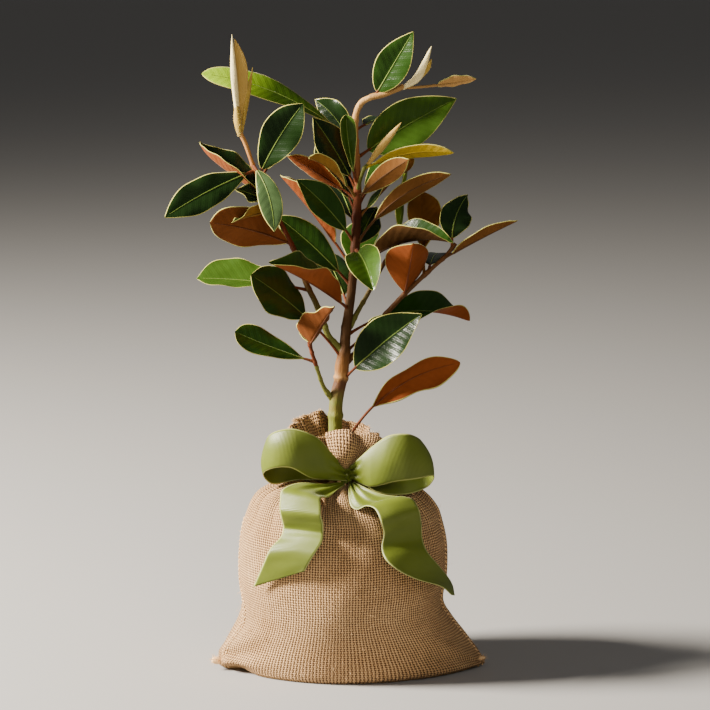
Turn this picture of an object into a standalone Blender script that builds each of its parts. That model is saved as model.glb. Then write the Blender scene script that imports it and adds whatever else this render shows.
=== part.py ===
"""Young broad-leaved evergreen sapling on its root ball, in a tied jute sack.

Every size below is in millimetres; the solids are made in metres, +Z up.
The origin is the middle of the sack's flat underside. The front is -Y.

Headings are compass-like angles in the ground plane: 0 is right (+X),
90 is back (+Y), 180 is left and 270 is the front.
"""
import math

import bmesh
import bpy
import numpy as np

MM = 0.001
CLEAR = 0.3             # gap left between pieces that touch
SEAT = 0.4              # the same where a limb or stalk meets a round limb's side

# ---------------------------------------------------------------- root ball
# Sections of the filled sack: height, reach to the left, to the right, to the
# front and to the back, and how pointed its two sides are (0.5 is an ellipse,
# 1 a lens with a corner at each side).
SACK_SECTIONS = [
    (0, 112, 121, 56, 70, 0.84),
    (4, 119, 130, 61, 76, 0.86),
    (13, 117, 127, 65, 80, 0.82),
    (30, 110, 114, 70, 83, 0.70),
    (50, 99, 98, 76, 85, 0.58),
    (66, 95, 90, 80, 86, 0.50),
    (90, 97, 94, 83, 86, 0.50),
    (118, 96, 94, 83, 85, 0.50),
    (140, 93, 89, 79, 80, 0.50),
    (158, 85, 82, 71, 72, 0.50),
    (170, 73, 70, 59, 60, 0.50),
    (178, 52, 48, 43, 44, 0.50),
    (182, 33, 30, 28, 28, 0.50),
    (184, 22, 20, 20, 20, 0.50),
]
SACK_POINTS = 40         # points round one section
NECK_HEIGHT = 184        # flat top inside the tie, where the trunk stands
NECK_X = -5              # middle of the tied neck
NECK_FROM = 150          # height from which the sections lean over to it

# Gathered mouth above the tie: heading, height of the rim, reach of the rim.
MOUTH_RIM = [
    (0, 218, 42), (30, 223, 38), (60, 229, 33), (90, 230, 31), (120, 240, 32),
    (150, 236, 38), (180, 231, 43), (205, 225, 40), (235, 224, 32),
    (262, 229, 28), (290, 229, 27), (315, 224, 32), (340, 219, 40),
]
MOUTH_POINTS = 28
MOUTH_FOOT = 20          # radius of the bunched cloth inside the tie
MOUTH_HOLE = 12.5        # hole that the trunk passes through
MOUTH_WALL = 4
MOUTH_NECK = 198         # the cloth is bunched up to here and opens above

# ------------------------------------------------------------------- ribbon
RIBBON_THICK = 1.0
RIBBON_ROWS = 3          # rings to each station of the bow
RIBBON_TRIALS = 24       # places tried to each station, to find where it starts
BAND_BOTTOM, BAND_TOP = 186, 197
BAND_RADIUS = 20.8
KNOT_MIDDLE = (2.5, -29.5, 190)
KNOT_SIZE = (8, 6.5, 8.5)
KNOT_ROOM = 1.10         # the bow's strips start this far out, in knot radii
# Ribbon: its two edges at each station. Loops run out along the front strand
# and back along the one behind, upper edge first; tails hang, left edge first.
LOOP_LEFT = [
    ((1, -31, 197), (2, -31, 185)),
    ((-11, -38, 212), (-13, -37, 187)),
    ((-25, -43, 228), (-30, -43, 190)),
    ((-45, -46, 236), (-48, -51, 201)),
    ((-62, -43, 233), (-64, -48, 200)),
    ((-71, -31, 223), (-74, -33, 191)),
    ((-66, -16, 214), (-66, -18, 179)),
    ((-45, -13, 212), (-45, -17, 182)),
    ((-21, -20, 203), (-22, -25, 184.5)),
    ((-2, -26, 195), (-2, -27.5, 185)),
]
LOOP_RIGHT = [
    ((6, -31, 198), (7, -31, 186)),
    ((15, -37, 208), (16, -41, 184)),
    ((27, -42, 220), (27, -48, 183)),
    ((41, -46, 230), (45, -51, 188)),
    ((58, -44, 231), (64, -48, 190)),
    ((70, -33, 223), (82, -35, 190)),
    ((68, -17, 213), (75, -21, 176)),
    ((51, -13, 208), (54, -36, 173)),
    ((31, -17, 201), (31, -43.5, 176.5)),
    ((12, -26, 195), (11, -33, 186)),
]
TAIL_LEFT = [
    ((-1, -32, 184), (0, -34, 181)),
    ((-17, -40, 184.5), (-7, -48, 179)),
    ((-38, -47, 186.5), (-14, -59, 175.5)),
    ((-55, -61, 183.5), (-20.5, -77, 178)),
    ((-57.5, -69, 174.5), (-20.5, -85.5, 172.5)),
    ((-57.5, -73.5, 166), (-20.5, -90, 166)),
    ((-56, -69.5, 157), (-18.5, -86, 157)),
    ((-55, -64.5, 148.5), (-18.5, -81.5, 147.5)),
    ((-57.5, -69.5, 141), (-19.5, -88, 142)),
    ((-66.5, -74, 131), (-25, -92, 133)),
    ((-73, -69, 116), (-31, -89, 122)),
    ((-82.5, -60, 92.5), (-35, -86, 114)),
]
TAIL_RIGHT = [
    ((4, -34, 182.5), (9, -33, 183)),
    ((4, -50, 177), (19, -47, 181.5)),
    ((6, -62, 168.5), (33, -59, 178.5)),
    ((12, -68, 166), (46, -63, 177)),
    ((20, -73, 170.5), (55, -64, 176.5)),
    ((28, -79, 169), (63, -65, 174)),
    ((33, -84, 159), (68, -69, 165)),
    ((36, -79, 146), (70, -61, 152)),
    ((34, -81, 134), (71, -61, 139)),
    ((38, -88, 124), (75, -66, 128)),
    ((50, -88, 114), (84, -62, 115)),
    ((68, -81, 104), (93, -51, 102)),
    ((88, -68, 95), (99, -43, 90)),
    ((98, -56, 84), (101, -50, 82)),
]

# -------------------------------------------------------------------- limbs
# Each limb: x, y, z of its middle and its radius, from its foot to its tip.
TRUNK = [
    (-6, 1, NECK_HEIGHT + CLEAR, 9.4), (-7, 1, 194, 7.6), (-8, 1, 214, 6.7),
    (-8, 1, 238, 6.3), (-7, 1, 256, 6.3), (-3, 1, 274, 6.0), (-2, 1, 286, 6.6),
    (0, 1, 300, 5.3), (2, 1, 321, 4.6), (7, 0, 358, 4.0), (10, 0, 395, 4.0),
    (12, 0, 432, 3.8), (12, 0, 462, 3.5), (10, 0, 498, 3.1), (11, 0, 517, 2.9),
    (16, -1, 528, 2.8), (25, -2, 533, 2.6),
]

# Limbs that spring from the trunk: height and heading of the foot on the
# trunk's side, its radius there, and the stations that follow.
BOUGHS = {
    "bough_left": (301, 186, 3.3, [
        (-14, -2, 314, 2.9), (-19, -4, 328, 2.8), (-26, -6, 346, 2.7),
        (-34, -9, 363, 2.6), (-41, -11, 384, 2.5), (-47, -13, 399, 2.4)]),
    "bough_low_left": (255, 188, 2.6, [
        (-19, -6, 268, 2.0), (-24, -14, 284, 1.8), (-26, -17, 291, 1.8)]),
    "bough_right": (322, 12, 2.7, [
        (13, 5, 337, 2.2), (21, 7, 351, 2.1), (33, 9, 374, 2.0), (42, 10, 388, 1.9)]),
    "bough_right_low": (289, 18, 2.8, [
        (14, 4, 302, 2.4), (31, 1, 326, 2.3), (51, -2, 349, 2.2)]),
}

# Stems of the leafy masses, which carry on from the tips of the limbs.
STEMS = {
    "foliage_left": [
        (-47.3, -13.1, 399.8, 2.2), (-56, -16, 418, 2.1), (-66, -18, 437, 2.0), (-75, -19, 455, 1.9),
        (-82, -20, 473, 1.9), (-88, -21, 491, 2.0), (-94, -22, 504, 2.2),
    ],
    "foliage_low_left": [
        (-26.3, -17.3, 291.8, 1.8), (-29, -20, 301, 1.7), (-32, -22, 312, 1.6),
    ],
    "foliage_right": [
        (42.4, 10.1, 388.6, 1.8), (47, 10, 396, 1.7), (51, 10, 404, 1.6),
    ],
    "foliage_right_low": [
        (51.6, -2.1, 349.6, 2.1), (58, -3, 356, 2.1), (70, -5, 368, 2.0),
        (82, -5, 379, 1.9), (93, -4, 389, 1.8), (102, -3, 400, 1.7),
    ],
    "foliage_tip": [
        (25.9, -2.1, 533.3, 2.5), (33, -3, 535, 2.4), (43, -4, 538, 2.3), (54, -4, 543, 2.2),
    ],
}
# The small shoot on the trunk's front is a mass too.
SHOOT = (450, 282, 1.7, [(15, -8, 459, 1.6), (18, -9, 468, 1.7), (22, -9, 473, 1.7)])

# ------------------------------------------------------------------- leaves
BLADE_RINGS = (0.0, 0.10, 0.26, 0.46, 0.66, 0.84, 0.95, 1.0)
BLADE_FULLNESS = 1.52    # 1 is an oval, 2 a lens
STALK_RADIUS = 1.25
TIP_WIDTH = 1.2
BLUNT_FROM = 0.9         # share of the blade from which its section stays open
STALK_SHARE = 0.87       # the stalk's flat side, as a share of its radius
RIB_SHARE = 0.62         # half thickness at the rib, as a share of the blade's
LEAF_STEPS = 60
THINNEST = 0.8           # leaf thickness, and at least a hundredth of its length


def leaf(heading, lift, length, width, roll=0, arch=20, fold=12, twist=0, hook=0,
         stalk=14, widest=0.58, at=None, near=None, point=0.8):
    """One leaf's habit.

    heading and lift   where it points, on the whole
    length and width   of stalk and blade together, and of the blade
    roll               0 has its upper face up, 90 turned to the front
    arch               droop from base to tip; minus curves upwards
    fold               how far each half is raised from flat
    near               the same for the half nearer the front, where it differs
    twist              turn of the blade, base to tip
    hook               further droop at the tip
    widest             where along the blade it is widest
    at                 height on its stem
    point              how blunt its tip is
    """
    return dict(heading=heading, lift=lift, length=length, width=width, roll=roll,
                arch=arch, fold=fold, twist=twist, hook=hook, stalk=stalk, widest=widest,
                at=at, near=near, point=point)


# Leaves borne by the trunk itself, each one a piece of its own.
TRUNK_LEAVES = {
    # seen from the front, from the sack's mouth up
    "leaf_01_mouth_right": leaf(350, 38, 146, 32, roll=-66, arch=56, at=206, stalk=50, fold=10,
                                widest=0.62, point=3.4),
    "leaf_02_front_right": leaf(325, 38, 107, 48, roll=92, arch=10, at=276, stalk=14, fold=22,
                                widest=0.52),
    "leaf_03_back_right": leaf(18, 3, 123, 42, roll=46, arch=56, at=316, stalk=22, fold=45,
                               twist=-150, point=2.6),
    "leaf_04_left_round": leaf(203, 42, 117, 50, roll=58, arch=20, at=297, stalk=48, fold=8,
                               widest=0.60, point=2.4),
    "leaf_05_left_rust": leaf(225, 27, 110, 50, roll=8, arch=14, at=341, stalk=8, fold=66,
                              near=42, twist=64),
    "leaf_06_front_folded": leaf(286, -28, 66, 40, roll=26, arch=44, at=394, stalk=6, fold=38,
                                 widest=0.50, point=2.0),
    "leaf_07_left_dark": leaf(180, 43, 92, 32, roll=72, arch=14, at=363, stalk=14, fold=16),
    "leaf_08_left_split": leaf(166, 51, 106, 38, roll=-20, arch=12, at=379, stalk=24, fold=46,
                               twist=30),
    "leaf_09_left_upper": leaf(204, 46, 80, 34, roll=76, arch=18, at=403, stalk=10, fold=18),
    "leaf_10_right_arched": leaf(343, 17, 101, 46, roll=-4, arch=62, at=375, stalk=20, fold=66,
                                 near=46, twist=56),
    "leaf_11_right_brown": leaf(344, 36, 110, 21, roll=-60, arch=44, at=402, stalk=24, fold=16,
                                widest=0.56, twist=30),
    "leaf_12_back_dark": leaf(62, 44, 58, 30, roll=40, arch=30, at=390, stalk=10, fold=10),
    "leaf_13_right_narrow": leaf(357, 47, 72, 21, roll=-10, arch=6, at=425, stalk=8, fold=20,
                                 twist=-130, point=1.4),
    "leaf_14_left_rust_upper": leaf(163, 30, 75, 24, roll=-56, arch=14, at=441, stalk=12, fold=16),
    "leaf_15_left_curl": leaf(220, 36, 67, 22, roll=8, arch=30, at=443, stalk=12, fold=30,
                              twist=-110, point=1.6),
    "leaf_16_right_rust": leaf(318, 32, 70, 22, roll=-70, arch=12, at=443, stalk=4, fold=22),
    "leaf_17_front_upright": leaf(240, 74, 64, 21, roll=136, arch=-22, at=457, stalk=8, fold=44,
                                  widest=0.76, point=3.6),
    "leaf_18_left_dark_upper": leaf(196, 58, 74, 34, roll=84, arch=10, at=453, stalk=9, fold=14),
    "leaf_19_right_glossy": leaf(8, 30, 104, 50, roll=76, arch=10, at=479, stalk=10, fold=24,
                                 widest=0.44),
    "leaf_20_left_round_top": leaf(144, 44, 62, 36, roll=88, arch=36, at=487, stalk=8, fold=14),
    "leaf_21_left_sweep": leaf(181, 24, 152, 29, roll=44, arch=36, at=493, stalk=24, fold=12,
                               widest=0.66, point=1.4),
    # behind the trunk
    "leaf_22_back": leaf(38, 20, 92, 38, arch=30, at=300),
    "leaf_23_back": leaf(82, 30, 92, 38, arch=34, at=368),
    "leaf_24_back": leaf(110, 30, 92, 38, arch=30, at=340),
    "leaf_25_back": leaf(106, 26, 96, 40, arch=34, at=412),
    "leaf_26_back": leaf(126, 42, 86, 34, arch=30, at=428),
    "leaf_27_back": leaf(50, 34, 84, 34, arch=26, at=436),
    "leaf_28_back": leaf(116, 32, 80, 34, arch=24, at=474),
    "leaf_29_back": leaf(58, 8, 62, 28, arch=20, at=503),
}

# A leaf that the left bough bears below its mass.
BOUGH_LEAVES = {
    "leaf_30_left_far": leaf(173, 5, 103, 46, roll=32, arch=12, at=358, stalk=14, fold=26,
                             widest=0.66, point=1.8),
}

# Leaves fused to the stem of each mass.
MASS_LEAVES = {
    "foliage_left": [
        # big rust underside, and a small yellow-brown one curled over it
        leaf(194, 16, 79, 42, roll=-66, arch=20, at=400.4, stalk=3, fold=12, widest=0.62,
             point=2.6),
        leaf(212, -10, 46, 26, roll=-40, arch=22, at=431, stalk=1, fold=20, twist=84,
             point=1.8, widest=0.34),
        # half rust, half green, its tip curled up
        leaf(172, 34, 84, 40, roll=26, arch=8, at=440, stalk=10, fold=36, near=58,
             hook=-46),
        # small and dark
        leaf(208, 22, 38, 24, roll=50, arch=20, at=438, stalk=5),
        # large and glossy, drooping
        leaf(205, -24, 96, 33, roll=60, arch=14, at=468, stalk=8),
        # upright and dark
        leaf(330, 55, 84, 38, roll=108, arch=16, at=461, stalk=8, fold=20, point=1.3),
        # hanging, pale gloss
        leaf(306, -60, 70, 22, roll=40, arch=60, at=473, stalk=6, fold=8),
        # behind
        leaf(122, 14, 68, 30, arch=34, at=430),
        leaf(56, 36, 66, 30, arch=20, at=458),
    ],
    "foliage_low_left": [
        leaf(188, 22, 79, 28, roll=58, arch=-8, at=293, stalk=8, widest=0.72, point=3.0),
        leaf(313, 50, 52, 48, roll=-15, arch=10, at=309, stalk=3, fold=46, widest=0.32),
        leaf(96, 20, 52, 20, arch=20, at=302),
    ],
    "foliage_right": [
        # upright and olive, its tip fresh
        leaf(34, 81, 78, 17, roll=-54, arch=4, at=400, stalk=10, fold=26, twist=110),
        leaf(64, 8, 60, 28, arch=34, at=392),
    ],
    "foliage_right_low": [
        # rust cup
        leaf(284, 58, 60, 50, arch=-8, at=353, stalk=3, fold=34, point=2.0),
        # two brown halves
        leaf(93, 62, 84, 44, roll=175, arch=-8, at=371, stalk=26, fold=-42, point=1.8),
        # dark and curled
        leaf(40, 68, 54, 36, roll=62, arch=60, at=396, stalk=8, twist=50),
        # narrow and brown
        leaf(352, 28, 78, 20, roll=-30, arch=6, at=386, stalk=8, fold=30, twist=20),
        leaf(80, 8, 70, 32, arch=30, at=374),
    ],
    "foliage_tip": [
        leaf(334, 57, 70, 34, roll=100, arch=2, at=533.8, stalk=4, fold=18, widest=0.48),
        # young, cream and tan
        leaf(4, 7, 71, 14, roll=-60, arch=-10, at=541, stalk=34, fold=34, widest=0.5),
        leaf(76, 44, 54, 24, arch=20, at=536),
    ],
    "side_shoot": [
        leaf(356, 10, 84, 16, roll=-56, arch=38, at=469, stalk=6),
    ],
}

# Buds on those stems: base, middle and tip of each, its widest radius and how
# much flatter than wide it is.
BUDS = {
    "foliage_left": [
        # a slim spear, the young leaf that stands out from it, and a small one
        ((-94, -22, 502), (-98, -23, 548), (-100, -22, 590), 2.9, 0.9),
        ((-94, -21.8, 500), (-91, -21.8, 556), (-97.5, -21.8, 586), 5.4, 0.24),
        ((-92, -21.5, 500), (-87, -20, 532), (-81.5, -19, 561), 2.3, 0.9),
    ],
    "foliage_tip": [
        ((53, -4, 541), (68, -6, 553), (79, -6, 579), 3.6, 0.9),
    ],
    "side_shoot": [
        ((21, -9, 472), (35, -12, 490), (52, -13, 511), 3.4, 0.9),
    ],
}

# ---------------------------------------------------------------- materials
# name: base colour (linear), roughness
FINISHES = {
    "jute": ((0.68, 0.50, 0.32), 0.92),
    "ribbon": ((0.33, 0.38, 0.13), 0.45),
    "bark": ((0.30, 0.22, 0.09), 0.70),
    "leaf": ((0.05, 0.11, 0.02), 0.30),
}


def material(name):
    found = bpy.data.materials.get(name)
    if found:
        return found
    colour, roughness = FINISHES[name]
    made = bpy.data.materials.new(name)
    made.use_nodes = True
    shader = made.node_tree.nodes["Principled BSDF"]
    shader.inputs["Base Color"].default_value = (*colour, 1)
    shader.inputs["Roughness"].default_value = roughness
    shader.inputs["Metallic"].default_value = 0
    return made


# ------------------------------------------------------------ shape helpers
def unit(vector):
    vector = np.asarray(vector, float)
    return vector / np.linalg.norm(vector)


def smooth_through(stations, count):
    """Points on a Catmull-Rom curve through the stations, evenly in parameter."""
    rows = np.asarray(stations, float)
    rows = np.vstack([2 * rows[0] - rows[1], rows, 2 * rows[-1] - rows[-2]])
    spans = len(rows) - 3
    out = []
    for step in np.linspace(0, spans, count):
        index = min(int(step), spans - 1)
        t = step - index
        a, b, c, d = rows[index:index + 4]
        out.append(0.5 * (2 * b + (c - a) * t + (2 * a - 5 * b + 4 * c - d) * t**2
                          + (3 * b - a - 3 * c + d) * t**3))
    return np.array(out)


def add_solid(name, rings, finish, capped=True):
    """One closed solid lofted through rings of equal count, in millimetres.

    Uncapped rings join last to first, which makes a ring-shaped solid. Each
    side is split along the same diagonal on both faces of a flat section, so
    that a thin blade never cuts through itself where it twists.
    """
    around = len(rings[0])
    mesh = bmesh.new()
    rows = [[mesh.verts.new(np.asarray(p) * MM) for p in ring] for ring in rings]
    pairs = list(zip(rows, rows[1:]))
    if not capped:
        pairs.append((rows[-1], rows[0]))
    for low, high in pairs:
        for i in range(around):
            j = (i + 1) % around
            if 2 * i < around:
                mesh.faces.new((low[i], low[j], high[j]))
                mesh.faces.new((low[i], high[j], high[i]))
            else:
                mesh.faces.new((low[i], low[j], high[i]))
                mesh.faces.new((low[j], high[j], high[i]))
    if capped:
        mesh.faces.new(rows[0][::-1])
        mesh.faces.new(rows[-1])
    bmesh.ops.recalc_face_normals(mesh, faces=mesh.faces)
    data = bpy.data.meshes.new(name)
    mesh.to_mesh(data)
    mesh.free()
    data.shade_smooth()
    data.materials.append(material(finish))
    solid = bpy.data.objects.new(name, data)
    bpy.context.scene.collection.objects.link(solid)
    return solid


def tube_rings(stations, sides, count, foot_way=None):
    """Round rings along a limb whose stations are x, y, z and radius.

    The foot is cut square to foot_way, or else to the limb itself.
    """
    rows = smooth_through(stations, count)
    points, radii = rows[:, :3], rows[:, 3]
    tangents = np.gradient(points, axis=0)
    if foot_way is not None:
        tangents[0] = foot_way
    across = unit(np.cross(tangents[0], (0, 1, 0)))
    rings = []
    for point, tangent, radius in zip(points, tangents, radii):
        tangent = unit(tangent)
        across = unit(across - tangent * across.dot(tangent))
        other = np.cross(tangent, across)
        angles = np.arange(sides) * 2 * math.pi / sides
        rings.append([point + radius * (math.cos(a) * across + math.sin(a) * other)
                      for a in angles])
    return rings


# --------------------------------------------------------------------- sack
def sack_ring(section, points):
    height, left, right, front, back, pointed = section
    lean = NECK_X * max(0, height - NECK_FROM) / (NECK_HEIGHT - NECK_FROM)
    ring = []
    for i in range(points):
        angle = 2 * math.pi * i / points
        across, deep = math.cos(angle), math.sin(angle)
        reach = right if across > 0 else left
        depth = back if deep > 0 else -front
        ring.append((lean + reach * across, depth * abs(deep) ** (2 * pointed), height))
    return ring


def root_ball():
    add_solid("root_ball", [sack_ring(row, SACK_POINTS) for row in SACK_SECTIONS], "jute")


def mouth_rim(heading):
    """Rim height and reach of the gathered mouth at a heading, in degrees."""
    rows = np.array(MOUTH_RIM, float)
    return [np.interp(heading % 360, rows[:, 0], rows[:, k], period=360) for k in (1, 2)]


def sack_collar():
    """The gathered mouth: bunched inside the tie, opening to an uneven rim."""
    headings = [360 * i / MOUTH_POINTS for i in range(MOUTH_POINTS)]
    outer, inner = [], []
    for opening in (-1, 0, 0.45, 1):             # foot, top of the tie, halfway, rim
        out_ring, in_ring = [], []
        for heading in headings:
            rim_height, rim_reach = mouth_rim(heading)
            angle = math.radians(heading)
            share = max(0, opening)
            height = MOUTH_NECK + (rim_height - MOUTH_NECK) * share
            if opening < 0:
                height = NECK_HEIGHT + CLEAR
            reach = MOUTH_FOOT + (rim_reach - MOUTH_FOOT) * share ** 0.8
            hole = MOUTH_HOLE + (rim_reach - MOUTH_WALL - MOUTH_HOLE) * share
            hole = min(hole, reach - MOUTH_WALL)
            centre = NECK_X - 2 * share
            out_ring.append((centre + reach * math.cos(angle), reach * math.sin(angle), height))
            in_ring.append((centre + hole * math.cos(angle), hole * math.sin(angle), height))
        outer.append(out_ring)
        inner.append(in_ring)
    add_solid("sack_collar", outer + inner[::-1], "jute", capped=False)


# ------------------------------------------------------------------- ribbon
def ribbon_band():
    rings = []
    sides = 24
    for radius, height in ((BAND_RADIUS, BAND_BOTTOM), (BAND_RADIUS, BAND_TOP),
                           (BAND_RADIUS + RIBBON_THICK, BAND_TOP),
                           (BAND_RADIUS + RIBBON_THICK, BAND_BOTTOM)):
        rings.append([(NECK_X + radius * math.cos(2 * math.pi * i / sides),
                       radius * math.sin(2 * math.pi * i / sides), height)
                      for i in range(sides)])
    add_solid("ribbon_band", rings, "ribbon", capped=False)


def ribbon_knot():
    rings = []
    for step in range(1, 8):
        polar = math.pi * step / 8
        rings.append([(KNOT_MIDDLE[0] + KNOT_SIZE[0] * math.sin(polar) * math.cos(turn),
                       KNOT_MIDDLE[1] + KNOT_SIZE[1] * math.sin(polar) * math.sin(turn),
                       KNOT_MIDDLE[2] + KNOT_SIZE[2] * math.cos(polar))
                      for turn in (2 * math.pi * i / 12 for i in range(12))])
    add_solid("ribbon_knot", rings, "ribbon")


def strip(name, lefts, rights):
    """A ribbon solid between two edges, one ring of four points a station."""
    lefts, rights = np.array(lefts, float), np.array(rights, float)
    middles = (lefts + rights) / 2
    along = np.gradient(middles, axis=0)
    rings = []
    for left, right, way in zip(lefts, rights, along):
        face = unit(np.cross(right - left, way)) * RIBBON_THICK / 2
        rings.append([left + face, right + face, right - face, left - face])
    add_solid(name, rings, "ribbon")


def clear_of_knot(points):
    """Whether each point lies outside the knot, with room to spare."""
    away = np.linalg.norm((points - KNOT_MIDDLE) / np.array(KNOT_SIZE), axis=1)
    return away > KNOT_ROOM


def bow_part(name, edges):
    """A loop or a tail through its stations, cut short where it meets the knot."""
    rows = smooth_through([(*first, *second) for first, second in edges],
                          RIBBON_TRIALS * len(edges))
    clear = clear_of_knot(rows[:, :3]) & clear_of_knot(rows[:, 3:])
    clear &= clear_of_knot((rows[:, :3] + rows[:, 3:]) / 2)
    kept = np.flatnonzero(clear)
    chosen = np.linspace(kept[0], kept[-1], RIBBON_ROWS * len(edges)).astype(int)
    strip(name, rows[chosen, :3], rows[chosen, 3:])


# ------------------------------------------------------------------- leaves
def point_on(stations, height):
    """Middle and radius of a limb at a height."""
    rows = smooth_through(stations, 8 * len(stations))
    return np.array([np.interp(height, rows[:, 2], rows[:, k]) for k in range(4)])


def blade_share(share, widest):
    """Width of a blade along its length, as a share of its widest."""
    rise, fall = BLADE_FULLNESS * widest, BLADE_FULLNESS * (1 - widest)
    peak = widest ** rise * (1 - widest) ** fall
    return share ** rise * (1 - share) ** fall / peak


def leaf_rings(habit, foot, start):
    """Rings of six points along one leaf: a round stalk that opens to a blade."""
    fractions = [0, 0.6 * habit["stalk"] / habit["length"]]
    stalk = habit["stalk"] / habit["length"]
    fractions += [stalk + (1 - stalk) * share for share in BLADE_RINGS]
    thick = max(THINNEST, habit["length"] / 100)
    heading = math.radians(habit["heading"])
    level = np.array((math.cos(heading), math.sin(heading), 0))
    point = np.array(foot, float) + level * start
    places = {}
    wanted = {round(f * LEAF_STEPS): f for f in fractions}
    for step in range(LEAF_STEPS + 1):
        share = step / LEAF_STEPS
        lift = math.radians(habit["lift"] + habit["arch"] * (0.5 - share)
                            - habit["hook"] * share ** 6)
        way = math.cos(lift) * level + math.sin(lift) * np.array((0, 0, 1))
        if step in wanted:
            places[wanted[step]] = (point.copy(), way, share)
        point = point + way * habit["length"] / LEAF_STEPS
    near = habit["fold"] if habit["near"] is None else habit["near"]
    rings = []
    for fraction in sorted(places):
        point, way, share = places[fraction]
        up = unit(np.array((0, 0, 1)) - way * way[2])
        side = np.cross(way, up)
        front = side if side[1] <= 0 else -side
        blade = max(0, (share - stalk) / (1 - stalk))
        roll = math.radians(habit["roll"] + habit["twist"] * (blade - 0.5))
        normal = up * math.cos(roll) + front * math.sin(roll)
        side = np.cross(way, normal)
        half = blade_half(habit, blade)
        opened = min(1, max(0, half - STALK_RADIUS) / (3 * STALK_RADIUS)) if blade > 0 else 0
        if blade >= BLUNT_FROM:
            opened = 1
        half = max(half, STALK_RADIUS * STALK_SHARE) if blade < 0.5 else half
        mid = (1 - opened) * STALK_RADIUS + opened * thick * RIB_SHARE
        edge = ((1 - opened) * STALK_RADIUS + opened * thick) / 2
        bends = (near, habit["fold"]) if side[1] <= 0 else (habit["fold"], near)
        right, left = (way_of_half(turned, normal, math.radians(bend) * opened) * half
                       for turned, bend in zip((side, -side), bends))
        rings.append([point + left + normal * edge, point + normal * mid,
                      point + right + normal * edge, point + right - normal * edge,
                      point - normal * mid, point + left - normal * edge])
    return rings


def blade_half(habit, blade):
    """Half of the blade's width at a share of its length, blunted at its tip."""
    half = habit["width"] / 2 * blade_share(blade, habit["widest"])
    to_tip = (1 - blade) * (habit["length"] - habit["stalk"]) * habit["point"]
    if min(half, to_tip) <= TIP_WIDTH / 2:
        return TIP_WIDTH / 2
    return max(TIP_WIDTH / 2, (half ** -4 + to_tip ** -4) ** -0.25)


def way_of_half(side, normal, bend):
    """Direction of one half of the blade, raised from flat by its bend."""
    return side * math.cos(bend) + normal * math.sin(bend)


def from_trunk(height, heading, radius, stations):
    """Stations of a limb from its foot, just clear of the trunk's side."""
    middle = point_on(TRUNK, height)[:3]
    way = np.array((math.cos(math.radians(heading)), math.sin(math.radians(heading)), 0))
    girth = 0
    for level in (height - radius, height, height + radius):
        section = point_on(TRUNK, level)
        girth = max(girth, (section[:3] - middle).dot(way) + section[3])
    foot = middle + way * (girth + SEAT)
    return way, [(*foot, radius), *stations]


def single_leaf(name, habit, limb):
    """A leaf of its own, its stalk just clear of the limb that bears it."""
    foot = point_on(limb, habit["at"])
    run = unit((point_on(limb, habit["at"] + 4) - point_on(limb, habit["at"] - 4))[:3])
    turn = math.radians(habit["heading"])
    slant = run.dot((math.cos(turn), math.sin(turn), 0))
    rise = math.radians(habit["lift"] + habit["arch"] / 2)
    start = foot[3] + SEAT + STALK_RADIUS * abs(math.sin(rise))
    start /= math.sqrt(1 - slant * slant)
    add_solid(name, leaf_rings(habit, foot[:3], start), "leaf")


def bud_rings(base, middle, tip, radius, flatness):
    rows = smooth_through([base, middle, tip], 9)
    shares = (0.45, 0.62, 0.8, 0.95, 1.0, 0.94, 0.75, 0.45, 0.12)
    along = np.gradient(rows, axis=0)
    rings = []
    for point, way, share in zip(rows, along, shares):
        side = unit(np.cross(way, (0, 1, 0)))
        back = unit(np.cross(way, side))
        rings.append([point + radius * share * (math.cos(a) * side + flatness * math.sin(a) * back)
                      for a in (2 * math.pi * i / 8 for i in range(8))])
    return rings


def foliage(name, stations, foot_way=None):
    """One closed mass: a stem with its leaves and buds fused to it."""
    rings = tube_rings(stations, 8, 2 * len(stations), foot_way)
    stem = add_solid(name, rings, "leaf")
    joined = bpy.data.collections.new(name)
    bpy.context.scene.collection.children.link(joined)
    parts = []
    for index, habit in enumerate(MASS_LEAVES[name]):
        foot = point_on(stations, habit["at"])
        parts.append(add_solid(f"{name}_leaf_{index}", leaf_rings(habit, foot[:3], 0), "leaf"))
    for index, bud in enumerate(BUDS.get(name, [])):
        parts.append(add_solid(f"{name}_bud_{index}", bud_rings(*bud), "leaf"))
    for part in parts:
        bpy.context.scene.collection.objects.unlink(part)
        joined.objects.link(part)
    union = stem.modifiers.new("fuse", "BOOLEAN")
    union.operation = "UNION"
    union.solver = "MANIFOLD"
    union.operand_type = "COLLECTION"
    union.collection = joined
    graph = bpy.context.evaluated_depsgraph_get()
    fused = bpy.data.meshes.new_from_object(stem.evaluated_get(graph))
    stem.modifiers.clear()
    stem.data = fused
    for part in parts:
        bpy.data.objects.remove(part, do_unlink=True)
    bpy.data.collections.remove(joined)


def main():
    for leftover in list(bpy.data.objects):
        bpy.data.objects.remove(leftover, do_unlink=True)
    root_ball()
    sack_collar()
    ribbon_band()
    ribbon_knot()
    bow_part("bow_loop_left", LOOP_LEFT)
    bow_part("bow_loop_right", LOOP_RIGHT)
    bow_part("ribbon_tail_left", TAIL_LEFT)
    bow_part("ribbon_tail_right", TAIL_RIGHT)
    add_solid("trunk", tube_rings(TRUNK, 10, 2 * len(TRUNK), foot_way=(0, 0, 1)), "bark")
    boughs = {}
    for name, habit in BOUGHS.items():
        way, stations = from_trunk(*habit)
        add_solid(name, tube_rings(stations, 8, 2 * len(stations), foot_way=way), "bark")
        boughs[name] = stations
    for name, stations in STEMS.items():
        foliage(name, stations)
    way, stations = from_trunk(*SHOOT)
    foliage("side_shoot", stations, foot_way=way)
    for name, habit in TRUNK_LEAVES.items():
        single_leaf(name, habit, TRUNK)
    for name, habit in BOUGH_LEAVES.items():
        single_leaf(name, habit, boughs["bough_left"])


main()
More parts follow.
